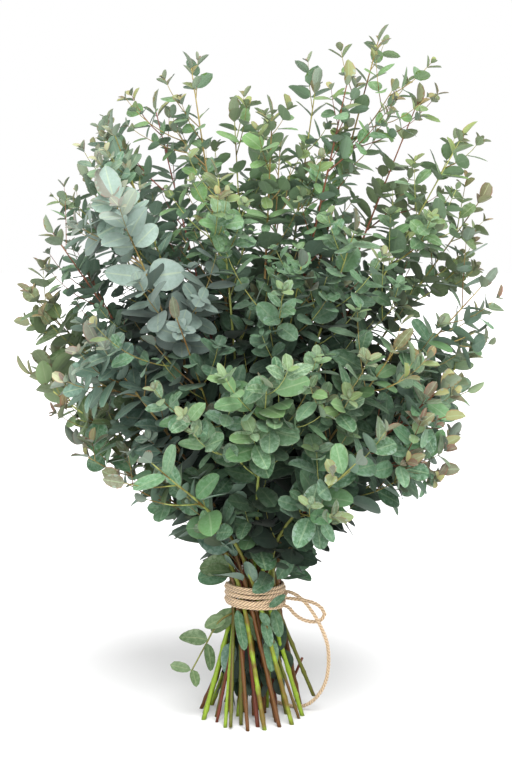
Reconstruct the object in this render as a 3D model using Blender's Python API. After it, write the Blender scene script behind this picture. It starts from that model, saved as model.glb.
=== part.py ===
# A bunch of cut cider gum stems, tied with jute twine and standing on its splayed cut ends.
# Metres, +Z up. The origin is on the surface that it stands on, straight below the tie, and -Y is its front.
import math
import random

import bmesh
import bpy
import numpy as np
from mathutils import Matrix, Vector
from mathutils.bvhtree import BVHTree

SEED = 7
UP = Vector((0, 0, 1))

# The bundle of stems: they turn round each other on their way through the tie, and spread again below it
TIE_HEIGHT = 0.1155
WAIST_RADIUS = 0.0222  # of the circle that holds the stems' centre lines at the tie
WAIST_SPACING = 0.0066
BASE_SPREAD = 2.4  # the foot's distance from the middle over the waist's
BASE_TURN = math.radians(46)
HEAD_TURN = math.radians(40)
WAIST_OPENING = -1.0  # of the bundle at the tie going up, per metre
WAIST_SWIRL = 14.0  # sideways slope at the tie, per metre from the bundle's middle
WIDEST_LEAN = 1.3  # of a head, sideways over upwards, at the waist's rim
UNDER_FOOT = 0.006  # cut off to leave each stem a level end
FOOT_SPACING = 0.0082
FOOT_TO_TAIL = 0.0052
UPPER_PARTS = 5
TIE_LOW = 0.1012  # just under the twine
TIE_REACH = 0.0155  # the stems run straight for this far above and below the tie
TIED_PARTS = 2
STEM_GAP = 0.0008

# Twigs and leaves
TWIG_RADIUS = 0.0009
HANGING_RADIUS = 0.001
FORK_RADIUS = 0.0015
TWIG_LENGTH = (0.055, 0.1)
TWIG_SHORTENING = 0.4  # of a twig, for its share of the way up its stem
TWIG_ANGLE = math.radians(42)
TWIG_PARTS = 2
TWIG_PLACES = (0.5, 0.76)  # shares of a stem above the tie
TIP_RADIUS = 0.0008
LEAF_LENGTH = 0.037
LEAF_WIDTH = 0.76  # over its length
LEAF_THICKNESS = 0.0013  # at its middle, thinning to its rim
LEAF_CUP = 0.12
LEAF_KEEL = 0.25  # breadth at which a leaf is as low as its rib
LEAF_DISH = 0.03
LEAF_DROOP = 0.12
LEAF_ANGLE = (46, 74)  # degrees from its twig
TIP_LEAF = 0.6  # the length of the leaf at a twig's tip against the usual one
LEAF_ROOM = 0.0005  # kept free round a leaf
LEAF_OUTLINE = ((0.07, 0.05), (0.42, 1.0), (0.78, 0.68))
ROOT_DEPTH = 0.001
FIRST_LEAF_HEIGHT = 0.13
PAIR_SPACING = 0.08
MOST_LEAVES = 345
HEAD_MIDDLE = 0.34  # the height of the middle of the leaves, which grow more thickly towards the outside
HEAD_RADIUS = 0.24
TRIES = 7

# The tie
TWINE_RADIUS = 0.00175
TWINE_TURNS = 5
TWINE_PITCH = 0.0043
TWINE_POINTS_PER_TURN = 14
BUNDLE_EDGE = 0.0021  # from the waist's circle out to the stems' bark
TWINE_GAP = 0.0004

# Each stem: its tip's x, y and z in centimetres, its thickness at the tie in millimetres, its end's lift off
# the surface in millimetres, and its leaves' size against the usual one
STEMS = {
    # the outline, from low on the left, over the top, to low on the right
    "stem_01": (-17.9, 0.0, 27.5, 3.6, 0, 1.1),
    "stem_02": (-22.2, -1.0, 34.0, 4.2, 0, 1.0),
    "stem_03": (-22.0, 4.0, 41.0, 3.4, 2, 0.9),
    "stem_04": (-19.4, 0.0, 47.0, 4.0, 0, 0.85),
    "stem_05": (-16.2, 3.0, 52.0, 3.6, 1, 0.85),
    "stem_06": (-13.4, -1.0, 56.5, 2.8, 0, 0.9),
    "stem_07": (-9.6, 4.0, 58.5, 2.6, 1, 0.95),
    "stem_08": (-6.0, 0.5, 62.0, 4.4, 2, 0.8),
    "stem_09": (-2.0, 5.0, 58.0, 3.6, 0, 0.95),
    "stem_10": (1.6, -1.0, 58.0, 4.2, 1, 0.95),
    "stem_11": (5.8, 2.0, 60.5, 4.0, 0, 0.9),
    "stem_12": (8.6, -3.0, 61.0, 4.4, 2, 0.85),
    "stem_13": (11.6, 1.0, 64.5, 4.6, 0, 0.85),
    "stem_14": (15.6, 3.0, 59.0, 4.0, 1, 0.85),
    "stem_15": (19.6, -1.0, 56.0, 3.2, 0, 0.95),
    "stem_16": (21.8, 2.0, 50.0, 3.8, 3, 0.85),
    "stem_17": (22.0, -2.0, 42.5, 4.0, 0, 0.95),
    "stem_18": (21.6, 2.0, 35.5, 3.6, 0, 1.05),
    "stem_19": (19.0, 0.0, 27.0, 4.2, 8, 1.05),
    # the front
    "stem_20": (-13.4, -8.0, 51.5, 4.4, 0, 1.3),
    "stem_21": (-7.2, -14.0, 40.5, 2.8, 0, 0.95),
    "stem_22": (-3.4, -9.0, 52.5, 3.8, 0, 0.9),
    "stem_23": (1.0, -16.8, 35.0, 4.4, 0, 1.1),
    "stem_24": (4.2, -12.5, 45.0, 4.0, 0, 0.95),
    "stem_25": (9.0, -12.0, 48.0, 3.8, 0, 1.0),
    "stem_26": (13.0, -14.0, 38.0, 4.2, 0, 1.05),
    "stem_27": (18.0, -9.5, 34.0, 4.4, 0, 1.1),
    "stem_28": (9.5, -16.6, 28.0, 3.8, 0, 1.1),
    "stem_29": (-15.0, -9.0, 38.0, 3.8, 0, 1.1),
    "stem_30": (-10.0, -16.0, 28.0, 4.2, 0, 1.1),
    # the back
    "stem_31": (-16.0, 10.5, 36.0, 3.4, 0, 1.1),
    "stem_32": (-11.0, 9.5, 50.5, 3.0, 1, 0.95),
    "stem_33": (-8.5, 17.6, 33.0, 4.4, 0, 1.1),
    "stem_34": (-3.5, 15.2, 45.0, 4.0, 0, 1.0),
    "stem_35": (2.5, 10.0, 54.5, 3.6, 1, 0.9),
    "stem_36": (1.5, 18.9, 32.0, 4.4, 0, 1.1),
    "stem_37": (8.5, 14.0, 45.5, 3.8, 0, 1.0),
    "stem_38": (15.5, 10.0, 46.0, 3.6, 1, 0.95),
    "stem_39": (11.0, 17.2, 31.0, 4.0, 0, 1.1),
    "stem_40": (17.0, 11.0, 33.5, 3.8, 0, 1.05),
}

# Where the stems at the front and at the ends of the foot stand: x, y and lift off the surface in millimetres
KNOWN_FEET = (
    (8.7, -49.5, 0), (34.1, -31.9, 0), (41.0, -12.3, 0), (61.0, 19.0, 14), (40.8, 45.0, 0), (29.0, 16.5, 0),
    (11.6, 25.0, 0), (1.7, -25.4, 0), (-13.5, -20.5, 0), (-27.5, -41.5, 0), (-35.5, -24.0, 0),
    (-47.9, -15.6, 0), (-51.0, 22.0, 0),
)

# A twig that hangs from under the tie, from its stem out, in millimetres, with its leaves: each one's share of
# the twig's length, the way that it points and its length in millimetres
HANGING_TWIG = ((-32.6, -18.0, 94.8), (-45.1, -19.0, 73.3), (-59.4, -20.0, 46.6))
HANGING_LEAVES = (
    (0.52, (-0.95, -0.1, 0.26), 27), (0.56, (0.25, -0.35, -0.93), 26), (0.975, (-0.95, 0.05, 0.25), 21),
    (0.96, (0.3, -0.45, -0.88), 17), (0.12, (-0.75, -0.2, -0.3), 22), (0.2, (0.1, -0.4, -0.9), 27),
)

# A short fork, cut off, low on one of the stems at the back, in millimetres from its stem out
FORK = ((38.2, 37.0, 24.4), (45.0, 32.0, 46.7))

# Leaves low on the bundle's rim, just over and under the tie: the rim's bearing in degrees, the height, the
# bearing and the rise of the leaf in degrees, and its length in millimetres
RIM_LEAVES = (
    (197, 137, 185, -4, 30), (-15, 142, -8, 18, 27), (-58, 132, -50, 55, 29), (-100, 132, -110, 62, 26),
    (30, 140, 30, 10, 28), (75, 138, 70, 20, 29), (115, 140, 120, 5, 28), (155, 139, 160, 20, 27),
    (-135, 140, -140, 15, 28), (-95, 98, -95, -72, 27), (-60, 97, -55, -70, 26), (-125, 98, -130, -75, 24),
    (10, 97, 5, -68, 24), (100, 98, 100, -70, 26), (150, 98, 150, -70, 25), (55, 98, 50, -72, 25),
)

# The twine's loop and its tail, in millimetres, from where each leaves the winding
LOOP_ROUTE = (
    (30.6, -9.0, 114.0), (37.0, -12.5, 113.9), (44.0, -14.5, 113.4), (50.8, -15.5, 112.2),
    (57.4, -16.0, 109.6), (62.4, -16.0, 105.2), (64.6, -16.0, 100.2), (62.2, -15.8, 95.6),
    (57.2, -15.5, 93.2), (50.4, -15.2, 93.2), (43.3, -14.6, 95.4), (36.8, -13.5, 99.6), (32.4, -12.2, 105.0),
)
TAIL_ROUTE = (
    (29.5, -5.0, 119.5), (37.3, -13.0, 118.5), (44.3, -19.5, 114.5), (49.5, -21.5, 108.8),
    (53.8, -22.5, 102.8), (58.1, -22.0, 95.5), (61.9, -21.0, 87.4), (65.7, -18.5, 77.5), (68.0, -14.5, 66.6),
    (68.5, -9.0, 49.3), (66.0, -2.5, 32.0), (59.0, 4.5, 17.0), (49.5, 12.0, 6.5), (39.5, 20.5, 2.1),
    (28.0, 30.0, 1.9), (18.0, 40.0, 1.9), (9.0, 49.5, 1.9),
)

# A leafy stem's colour, as a bark and leaf mean: red, green and blue in linear light, with its roughness
FINISHES = {
    "grey_green_leaves": (0.21, 0.30, 0.22, 0.62),
    "fresh_green_leaves": (0.17, 0.30, 0.11, 0.55),
    "blue_green_leaves": (0.28, 0.42, 0.37, 0.66),
    "dusky_young_leaves": (0.20, 0.19, 0.13, 0.6),
    "jute_twine": (0.54, 0.35, 0.19, 0.9),
}
FRESH = ("stem_09", "stem_10", "stem_13", "stem_15", "stem_18", "stem_26", "stem_35", "stem_38", "stem_23")
BLUE = ("stem_20", "stem_29", "stem_06", "stem_32")
DUSKY = ("stem_02", "stem_03", "stem_14", "stem_16")


def read_stems():
    """The table of stems as named values in metres."""
    read = []
    for name, (x, y, z, thick, lift, leaf_size) in STEMS.items():
        read.append({
            "name": name,
            "tip": Vector((x, y, z)) / 100,
            "radius": thick / 2000,
            "lift": lift / 1000,
            "leaf_size": leaf_size,
        })
    return read


def eased_apart(places, least, reach):
    """Points in a disc, moved until no two are nearer than least, as far as reach allows."""
    places = places.copy()
    for _ in range(400):
        away = places[:, None] - places[None, :]
        far = np.linalg.norm(away, axis=2) + np.eye(len(places))
        short = np.clip(least - far, 0, None) * (1 - np.eye(len(places)))
        places += 0.35 * (away / far[..., None] * short[..., None]).sum(axis=1)
        out = np.linalg.norm(places, axis=1)
        places *= np.minimum(1, reach / np.maximum(out, 1e-9))[:, None]
    return places


def waist_places(stems):
    """Where each stem passes the tie: upright heads in the middle, leaning heads at the rim."""
    places = []
    for stem in stems:
        tip = stem["tip"]
        lean = math.hypot(tip.x, tip.y) / (tip.z - TIE_HEIGHT)
        reach = WAIST_RADIUS * min(1, lean / WIDEST_LEAN) ** 0.5
        bearing = math.atan2(tip.y, tip.x) + HEAD_TURN
        places.append((reach * math.cos(bearing), reach * math.sin(bearing)))
    return eased_apart(np.array(places), WAIST_SPACING, WAIST_RADIUS)


def hermite(start, end, start_slope, end_slope, share):
    """The point at a share of the way along a cubic curve with the given ends and end slopes."""
    two, three = share ** 2, share ** 3
    ends = start * (2 * three - 3 * two + 1) + end * (3 * two - 2 * three)
    return ends + start_slope * (three - 2 * two + share) + end_slope * (three - two)


def turned(place, angle):
    """A place in the plane turned about the middle."""
    return Matrix.Rotation(angle, 3, "Z") @ place


def waist_slope(place):
    """The upward slope, per metre of height, of a stem at its place in the tie."""
    return UP + place * WAIST_OPENING - turned(place, math.pi / 2) * WAIST_SWIRL


def pushed_off(foot, others, least):
    """A foot moved just clear of the other feet that are too near it."""
    for other in others:
        away = foot - other
        if 0 < away.length < least:
            foot = foot + away.normalized() * (least - away.length)
    return foot


def set_feet(stems, places):
    """Where the stems stand: the bundle's own spread, the known feet, and a free lane for the twine's tail."""
    feet = [turned(Vector((x, y, 0)), BASE_TURN) * BASE_SPREAD for x, y in places]
    known = {}
    for x, y, lift in KNOWN_FEET:
        place = Vector((x, y, 0)) / 1000
        nearest = min((i for i in range(len(feet)) if i not in known), key=lambda i: (feet[i] - place).length)
        feet[nearest] = place
        known[nearest] = lift / 1000
    lane = [Vector((x, y, 0)) / 1000 for x, y, z in TAIL_ROUTE if z < 18]
    lane = [start.lerp(end, i / 4) for start, end in zip(lane, lane[1:]) for i in range(4)] + lane[-1:]
    for _ in range(80):
        for i in range(len(feet)):
            if i not in known:
                feet[i] = pushed_off(feet[i], feet[:i] + feet[i + 1:], FOOT_SPACING)
                feet[i] = pushed_off(feet[i], lane, FOOT_TO_TAIL)
    for i, stem in enumerate(stems):
        stem["foot"] = feet[i]
        stem["lift"] = known.get(i, stem["lift"])


def stem_line(stem, place):
    """The points that a stem's middle line goes through, from below its cut end to its tip."""
    waist = Vector((place[0], place[1], 0))
    slope = waist_slope(waist)
    waist = waist + UP * TIE_HEIGHT
    low = waist - slope * TIE_REACH
    high = waist + slope * TIE_REACH
    foot = stem["foot"]
    points = [foot + (foot - low).normalized() * UNDER_FOOT, low]
    tip = stem["tip"] - (stem["tip"] - high).normalized() * LEAF_LENGTH * stem["leaf_size"] * TIP_LEAF
    chord = tip - high
    level = Vector((chord.x, chord.y, 0)) / chord.length
    start = slope.normalized() * chord.length
    end = (chord.normalized() + 0.35 * level + 0.1 * UP).normalized() * chord.length * 0.85
    for i in range(UPPER_PARTS + 1):
        points.append(hermite(high, tip, start, end, i / UPPER_PARTS))
    return points


def thinned(radius, count, tip_radius=TIP_RADIUS):
    """The radius at each of a line's points, thinning towards its tip."""
    shares = [i / (count - 1) for i in range(count)]
    return [radius * (1 - share ** 1.6) + tip_radius * share ** 1.6 for share in shares]


def twig_radii():
    """The radius at each of a twig's points."""
    return thinned(TWIG_RADIUS, TWIG_PARTS + 1, TIP_RADIUS * 0.8)


def tube(points, radii, resolution):
    """A tube round a line of points, as the data of a closed mesh."""
    curve = bpy.data.curves.new("line", "CURVE")
    curve.dimensions = "3D"
    curve.bevel_depth = 1
    curve.bevel_resolution = resolution
    curve.use_fill_caps = True
    spline = curve.splines.new("POLY")
    spline.points.add(len(points) - 1)
    for point, place, radius in zip(spline.points, points, radii):
        point.co = (*place, 1)
        point.radius = radius
    holder = bpy.data.objects.new("line", curve)
    mesh = bpy.data.meshes.new_from_object(holder)
    bpy.data.objects.remove(holder)
    bpy.data.curves.remove(curve)
    shape = bmesh.new()
    shape.from_mesh(mesh)
    bpy.data.meshes.remove(mesh)
    bmesh.ops.remove_doubles(shape, verts=shape.verts, dist=0.00002)
    return shape


def level_end(shape, height):
    """Cuts a stem off level at the height of its foot."""
    whole = shape.verts[:] + shape.edges[:] + shape.faces[:]
    cut = bmesh.ops.bisect_plane(shape, geom=whole, plane_co=(0, 0, height), plane_no=(0, 0, -1),
                                 clear_outer=True)
    edges = [item for item in cut["geom_cut"] if isinstance(item, bmesh.types.BMEdge)]
    bmesh.ops.contextual_create(shape, geom=edges)


def leaf(root, along, face, length, width, room=0.0):
    """A leaf: a thin blade on its root, running along, with its upper side towards face."""
    side = along.cross(face).normalized()
    face = side.cross(along).normalized()
    shape = bmesh.new()
    middle = root + along * length * 0.45 - face * LEAF_DROOP * length * 0.2
    half = LEAF_THICKNESS / 2 + room
    over = shape.verts.new(middle + face * (half + LEAF_DISH * width))
    under = shape.verts.new(middle - face * (half - LEAF_DISH * width))
    tip = root + along * (length + room) - face * LEAF_DROOP * length
    left = []
    right = []
    for share, breadth in LEAF_OUTLINE:
        out = side * (breadth * width / 2 + room)
        lift = LEAF_CUP * (breadth - LEAF_KEEL) * width - LEAF_DROOP * length * share ** 2
        rib = root + along * length * share + face * lift
        left.append(shape.verts.new(rib - out))
        right.append(shape.verts.new(rib + out))
    start = shape.verts.new(root)
    rim = left + [shape.verts.new(tip)] + right[::-1]
    for one, other in zip(rim, rim[1:]):
        shape.faces.new((one, other, under))
        shape.faces.new((other, one, over))
    shape.faces.new((right[0], left[0], under))
    shape.faces.new((left[0], right[0], start))
    shape.faces.new((start, over, left[0]))
    shape.faces.new((start, right[0], over))
    return shape


def solid_of(shape):
    """What a crossing test needs of a shape: its tree of faces and its box."""
    corners = np.array([list(vert.co) for vert in shape.verts])
    return {"tree": BVHTree.FromBMesh(shape), "low": corners.min(axis=0), "high": corners.max(axis=0)}


def crosses(solid, others):
    """Whether a solid crosses any of the others."""
    for other in others:
        if (solid["low"] > other["high"]).any() or (other["low"] > solid["high"]).any():
            continue
        if solid["tree"].overlap(other["tree"]):
            return True
    return False


def around(axis, angle):
    """A direction square to an axis, at an angle round it."""
    first = axis.cross(Vector((0.31, 0.17, 0.93))).normalized()
    return first * math.cos(angle) + axis.cross(first) * math.sin(angle)


def point_on(line, share, radii=None):
    """The point and the direction at a share of a line's length, and its thickness where radii are given."""
    lengths = [(b - a).length for a, b in zip(line, line[1:])]
    left = share * sum(lengths)
    for i, length in enumerate(lengths):
        if left <= length or i == len(lengths) - 1:
            break
        left -= length
    part = min(1, left / length)
    place = line[i].lerp(line[i + 1], part)
    axis = (line[i + 1] - line[i]).normalized()
    if radii is None:
        return place, axis
    return place, axis, radii[i] * (1 - part) + radii[i + 1] * part


def far_enough(line, radius, others, least=STEM_GAP):
    """Whether a new twig's line keeps clear of the stems and twigs of the other nodes."""
    mine = np.array([list(point_on(line, i / 12)[0]) for i in range(2, 13)])
    for other, other_radius in others:
        gap = np.linalg.norm(mine[:, None] - other[None], axis=2).min()
        if gap < radius + other_radius + least:
            return False
    return True


def sampled(line, step=0.003):
    """A line as closely set points."""
    total = sum((b - a).length for a, b in zip(line, line[1:]))
    count = max(3, int(total / step))
    return np.array([list(point_on(line, i / count)[0]) for i in range(count + 1)])


def twig_line(root, axis, out, length, lift=0.35):
    """A twig that leaves its stem at an angle and bends up."""
    start = axis * math.cos(TWIG_ANGLE) + out * math.sin(TWIG_ANGLE)
    end = (start + UP * lift + axis * 0.3).normalized()
    tip = root + (start + end) * length / 2
    return [hermite(root, tip, start * length, end * length, i / TWIG_PARTS) for i in range(TWIG_PARTS + 1)]


def grow_twigs(stems):
    """Gives each stem its side twigs, clear of the other stems."""
    lines = {stem["name"]: [(sampled(stem["line"]), stem["radius"])] for stem in stems}
    for stem in stems:
        draw = random.Random(f"{SEED} twigs {stem['name']}")
        stem["twigs"] = []
        upper = stem["line"][TIED_PARTS:]
        for place in TWIG_PLACES:
            others = [pair for name, pairs in lines.items() if name != stem["name"] for pair in pairs]
            for _ in range(12):
                root, axis = point_on(upper, place + draw.uniform(-0.07, 0.07))
                out = around(axis, draw.uniform(0, math.tau))
                if out.dot(Vector((root.x, root.y, 0))) < 0:
                    out = -out
                length = draw.uniform(*TWIG_LENGTH) * (1 - TWIG_SHORTENING * place)
                line = twig_line(root, axis, out, length)
                if not far_enough(line, TWIG_RADIUS, others):
                    continue
                stem["twigs"].append(line)
                lines[stem["name"]].append((sampled(line), TWIG_RADIUS))
                break


def at_height(stem, height):
    """The point, the direction and the radius of a stem at a height."""
    line, radii = stem["line"], stem["radii"]
    i = next(i for i in range(len(line) - 1) if line[i + 1].z >= height or i == len(line) - 2)
    part = min(1, (height - line[i].z) / (line[i + 1].z - line[i].z))
    place = line[i].lerp(line[i + 1], part)
    return place, (line[i + 1] - line[i]).normalized(), radii[i] * (1 - part) + radii[i + 1] * part


def upward_face(along):
    """The way that a leaf's upper side looks."""
    return (UP - along * along.dot(UP)).normalized()


def set_known_growth(stems):
    """Gives the stems at the rim the hanging twig, the fork and the known leaves near the tie."""
    for stem in stems:
        stem["known"] = []
    route = [Vector(place) / 1000 for place in HANGING_TWIG]
    stem = min(stems, key=lambda each: (at_height(each, TIE_LOW)[0] - route[0]).length)
    stem["hanging"] = [at_height(stem, TIE_LOW)[0], *route]
    for share, way, length in HANGING_LEAVES:
        root = point_on(stem["hanging"], share)[0]
        along = Vector(way).normalized()
        stem["known"].append((root, along, upward_face(along), length / 1000))
    low, high = (Vector(place) / 1000 for place in FORK)
    stem = min(stems, key=lambda each: (at_height(each, low.z)[0] - low).length)
    stem["fork"] = [at_height(stem, low.z)[0], high]
    for bearing, height, way, rise, length in RIM_LEAVES:
        angle = math.radians(bearing)
        edge = Vector((math.cos(angle), math.sin(angle), 0)) * bundle_radius(height / 1000)
        edge.z = height / 1000
        stem = min(stems, key=lambda each: (at_height(each, edge.z)[0] - edge).length)
        turn, lift = math.radians(way), math.radians(rise)
        along = Vector((math.cos(turn) * math.cos(lift), math.sin(turn) * math.cos(lift), math.sin(lift)))
        place, axis, radius = at_height(stem, edge.z)
        out = (along - axis * along.dot(axis)).normalized()
        root = place + out * (radius - ROOT_DEPTH)
        stem["known"].append((root, along, upward_face(along), length / 1000))


def leaf_sets(stem):
    """Where a stem's leaves may grow: opposite pairs, each pair square to the one below, and tip leaves."""
    draw = random.Random(f"{SEED} leaves {stem['name']}")
    upper = stem["line"][TIED_PARTS:]
    bare = [i / 50 for i in range(50) if point_on(upper, i / 50)[0].z < FIRST_LEAF_HEIGHT]
    runs = [(upper, stem["radii"][TIED_PARTS:], max(bare, default=0), PAIR_SPACING, 1.0)]
    runs += [(line, twig_radii(), 0.35, PAIR_SPACING * 0.75, 0.82) for line in stem["twigs"]]
    sets = []
    for line, radii, first, spacing, size in runs:
        size *= LEAF_LENGTH * stem["leaf_size"]
        step = spacing / sum((b - a).length for a, b in zip(line, line[1:]))
        angle = draw.uniform(0, math.tau)
        share = first + draw.uniform(0.2, 0.8) * step
        while share < 0.97:
            root, axis, radius = point_on(line, share, radii)
            pair = []
            for turn in (0, math.pi):
                lean = math.radians(draw.uniform(*LEAF_ANGLE)) * (1 - 0.3 * share ** 3)
                length = size * (1 - 0.45 * share ** 3) * draw.uniform(0.82, 1.15)
                pair.append((root, axis, radius, angle + turn, lean, length))
            depth = 1 - math.dist((root.x, root.y, root.z - HEAD_MIDDLE), (0, 0, 0)) / HEAD_RADIUS
            sets.append((draw.random() + depth, stem, pair))
            angle += math.pi / 2 + draw.uniform(-0.25, 0.25)
            share += step
        root, axis = point_on(line, 1)
        tip_leaf = (root - axis * 0.002, axis, 0, angle, math.radians(12), size * TIP_LEAF)
        sets.append((-1, stem, [tip_leaf]))
    return sets


def try_leaf(stem, root, along, face, length, others):
    """Puts a leaf on a stem if it crosses nothing, and says whether it did."""
    wide = leaf(root, along, face, length, length * LEAF_WIDTH, room=LEAF_ROOM)
    solid = solid_of(wide)
    wide.free()
    if solid["low"][2] < 0.004 or crosses(solid, others) or crosses(solid, stem["leaf_solids"]):
        return False
    shape = leaf(root, along, face, length, length * LEAF_WIDTH)
    stem["leaf_solids"].append(solid_of(shape))
    stem["leaves"].append(shape)
    return True


def grow_leaves(stems, cords):
    """Puts the leaves on the stems, the known ones first, then a few on each stem in turn."""
    def others_than(stem):
        rest = [other for other in stems if other is not stem]
        return cords + [solid for other in rest for solid in other["wood_solids"] + other["leaf_solids"]]

    placed = 0
    for stem in stems:
        for root, along, face, length in stem["known"]:
            placed += try_leaf(stem, root, along, face, length, others_than(stem))
    print("known leaves placed", placed)
    waiting = [each for stem in stems for each in leaf_sets(stem)]
    waiting.sort(key=lambda each: each[0])
    for order, stem, pair in waiting:
        if placed >= MOST_LEAVES:
            break
        others = others_than(stem)
        for root, axis, radius, turn, lean, length in pair:
            draw = random.Random(f"{SEED} {stem['name']} {turn:.6f}")
            for trial in range(TRIES):
                out = around(axis, turn + draw.uniform(-0.35, 0.35) * trial)
                steer = lean + draw.uniform(-0.12, 0.12) * trial
                along = axis * math.cos(steer) + out * math.sin(steer)
                face = axis * math.sin(steer) - out * math.cos(steer)
                start = root + out * max(0, radius - ROOT_DEPTH)
                if try_leaf(stem, start, along, face, length * (1 - 0.05 * trial), others):
                    placed += 1
                    break
    print("leaves placed", placed, "of", sum(len(pair) for _, _, pair in waiting))


def to_object(shape, name, home):
    """An object of a shape, in a collection."""
    mesh = bpy.data.meshes.new(name)
    shape.to_mesh(mesh)
    shape.free()
    made = bpy.data.objects.new(name, mesh)
    home.objects.link(made)
    return made


def joined(name, shapes, home, spare):
    """One solid of a stem, its twigs and its leaves."""
    base = to_object(shapes[0], name, home)
    for i, shape in enumerate(shapes[1:]):
        to_object(shape, f"{name}_piece_{i}", spare)
    union = base.modifiers.new("union", "BOOLEAN")
    union.operation = "UNION"
    union.operand_type = "COLLECTION"
    union.collection = spare
    union.solver = "MANIFOLD"
    seen = base.evaluated_get(bpy.context.evaluated_depsgraph_get())
    mesh = bpy.data.meshes.new_from_object(seen)
    base.modifiers.clear()
    base.data = mesh
    mesh.name = name
    for piece in list(spare.objects):
        bpy.data.objects.remove(piece)
    return base


def finish(name):
    """The material of a leafy stem or of twine."""
    red, green, blue, roughness = FINISHES[name]
    made = bpy.data.materials.get(name) or bpy.data.materials.new(name)
    made.use_nodes = True
    shader = made.node_tree.nodes["Principled BSDF"]
    shader.inputs["Base Color"].default_value = (red, green, blue, 1)
    shader.inputs["Roughness"].default_value = roughness
    shader.inputs["Metallic"].default_value = 0
    made.diffuse_color = (red, green, blue, 1)
    return made


def smooth_route(route, parts):
    """Evenly set points on a smooth curve through a route given in millimetres."""
    places = [Vector(place) / 1000 for place in route]
    fine = []
    for i in range(len(places) - 1):
        before = places[max(0, i - 1)]
        after = places[min(len(places) - 1, i + 2)]
        start, end = places[i], places[i + 1]
        for step in range(12):
            fine.append(hermite(start, end, (end - before) / 2, (after - start) / 2, step / 12))
    fine.append(places[-1])
    return [point_on(fine, i / parts)[0] for i in range(parts + 1)]


def bundle_radius(height):
    """How far the twine's middle is from the bundle's at a height near the tie."""
    up = height - TIE_HEIGHT
    widening = 1 + WAIST_OPENING * up + 0.5 * (WAIST_SWIRL * up) ** 2
    return WAIST_RADIUS * widening + BUNDLE_EDGE + TWINE_GAP + TWINE_RADIUS


def winding_points():
    """The twine's way round the bundle."""
    count = TWINE_TURNS * TWINE_POINTS_PER_TURN
    start = math.radians(-18)
    points = []
    for i in range(count + 1):
        angle = start + math.tau * i / TWINE_POINTS_PER_TURN
        height = TIE_HEIGHT + TWINE_PITCH * (i / TWINE_POINTS_PER_TURN - TWINE_TURNS / 2)
        reach = bundle_radius(height) / math.cos(math.pi / TWINE_POINTS_PER_TURN)
        points.append(Vector((reach * math.cos(angle), reach * math.sin(angle), height)))
    return points


def main():
    for item in list(bpy.data.objects):
        bpy.data.objects.remove(item)
    home = bpy.data.collections.new("cider_gum_bunch")
    spare = bpy.data.collections.new("spare_pieces")
    spare.hide_render = True
    for each in (home, spare):
        bpy.context.scene.collection.children.link(each)

    stems = read_stems()
    places = waist_places(stems)
    set_feet(stems, places)
    for stem, place in zip(stems, places):
        stem["line"] = stem_line(stem, place)
        stem["radii"] = thinned(stem["radius"], len(stem["line"]))
    grow_twigs(stems)

    twine = {
        "twine_winding": (winding_points(), TWINE_RADIUS),
        "twine_loop": (smooth_route(LOOP_ROUTE, 14), TWINE_RADIUS),
        "twine_tail": (smooth_route(TAIL_ROUTE, 28), TWINE_RADIUS),
    }
    cords = []
    for name, (points, radius) in twine.items():
        shape = tube(points, [radius + LEAF_ROOM] * len(points), 2)
        cords.append(solid_of(shape))
        shape.free()
        shape = tube(points, [radius] * len(points), 2)
        to_object(shape, name, home).data.materials.append(finish("jute_twine"))

    set_known_growth(stems)
    for stem in stems:
        shape = tube(stem["line"], stem["radii"], 1)
        level_end(shape, stem["lift"])
        stem["wood"] = [shape] + [tube(line, twig_radii(), 0) for line in stem["twigs"]]
        if "hanging" in stem:
            stem["wood"].append(tube(stem["hanging"], thinned(HANGING_RADIUS, len(stem["hanging"])), 0))
        if "fork" in stem:
            stem["wood"].append(tube(stem["fork"], [FORK_RADIUS, FORK_RADIUS], 0))
        stem["wood_solids"] = [solid_of(piece) for piece in stem["wood"]]
        stem["leaf_solids"] = []
        stem["leaves"] = []
    grow_leaves(stems, cords)
    total = 0
    for stem in stems:
        if stem["name"] in FRESH:
            colour = "fresh_green_leaves"
        elif stem["name"] in BLUE:
            colour = "blue_green_leaves"
        elif stem["name"] in DUSKY:
            colour = "dusky_young_leaves"
        else:
            colour = "grey_green_leaves"
        made = joined(stem["name"], stem["wood"] + stem["leaves"], home, spare)
        made.data.materials.clear()
        made.data.materials.append(finish(colour))
        made.data.calc_loop_triangles()
        total += len(made.data.loop_triangles)
    print("triangles in the stems", total)


main()
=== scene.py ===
# The studio picture of a bunch of cider gum: forty leafy stems in a jute tie, standing on a pale floor.
import math
import random

import bpy
import numpy as np
from mathutils import Matrix, Vector
from mathutils.bvhtree import BVHTree


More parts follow.
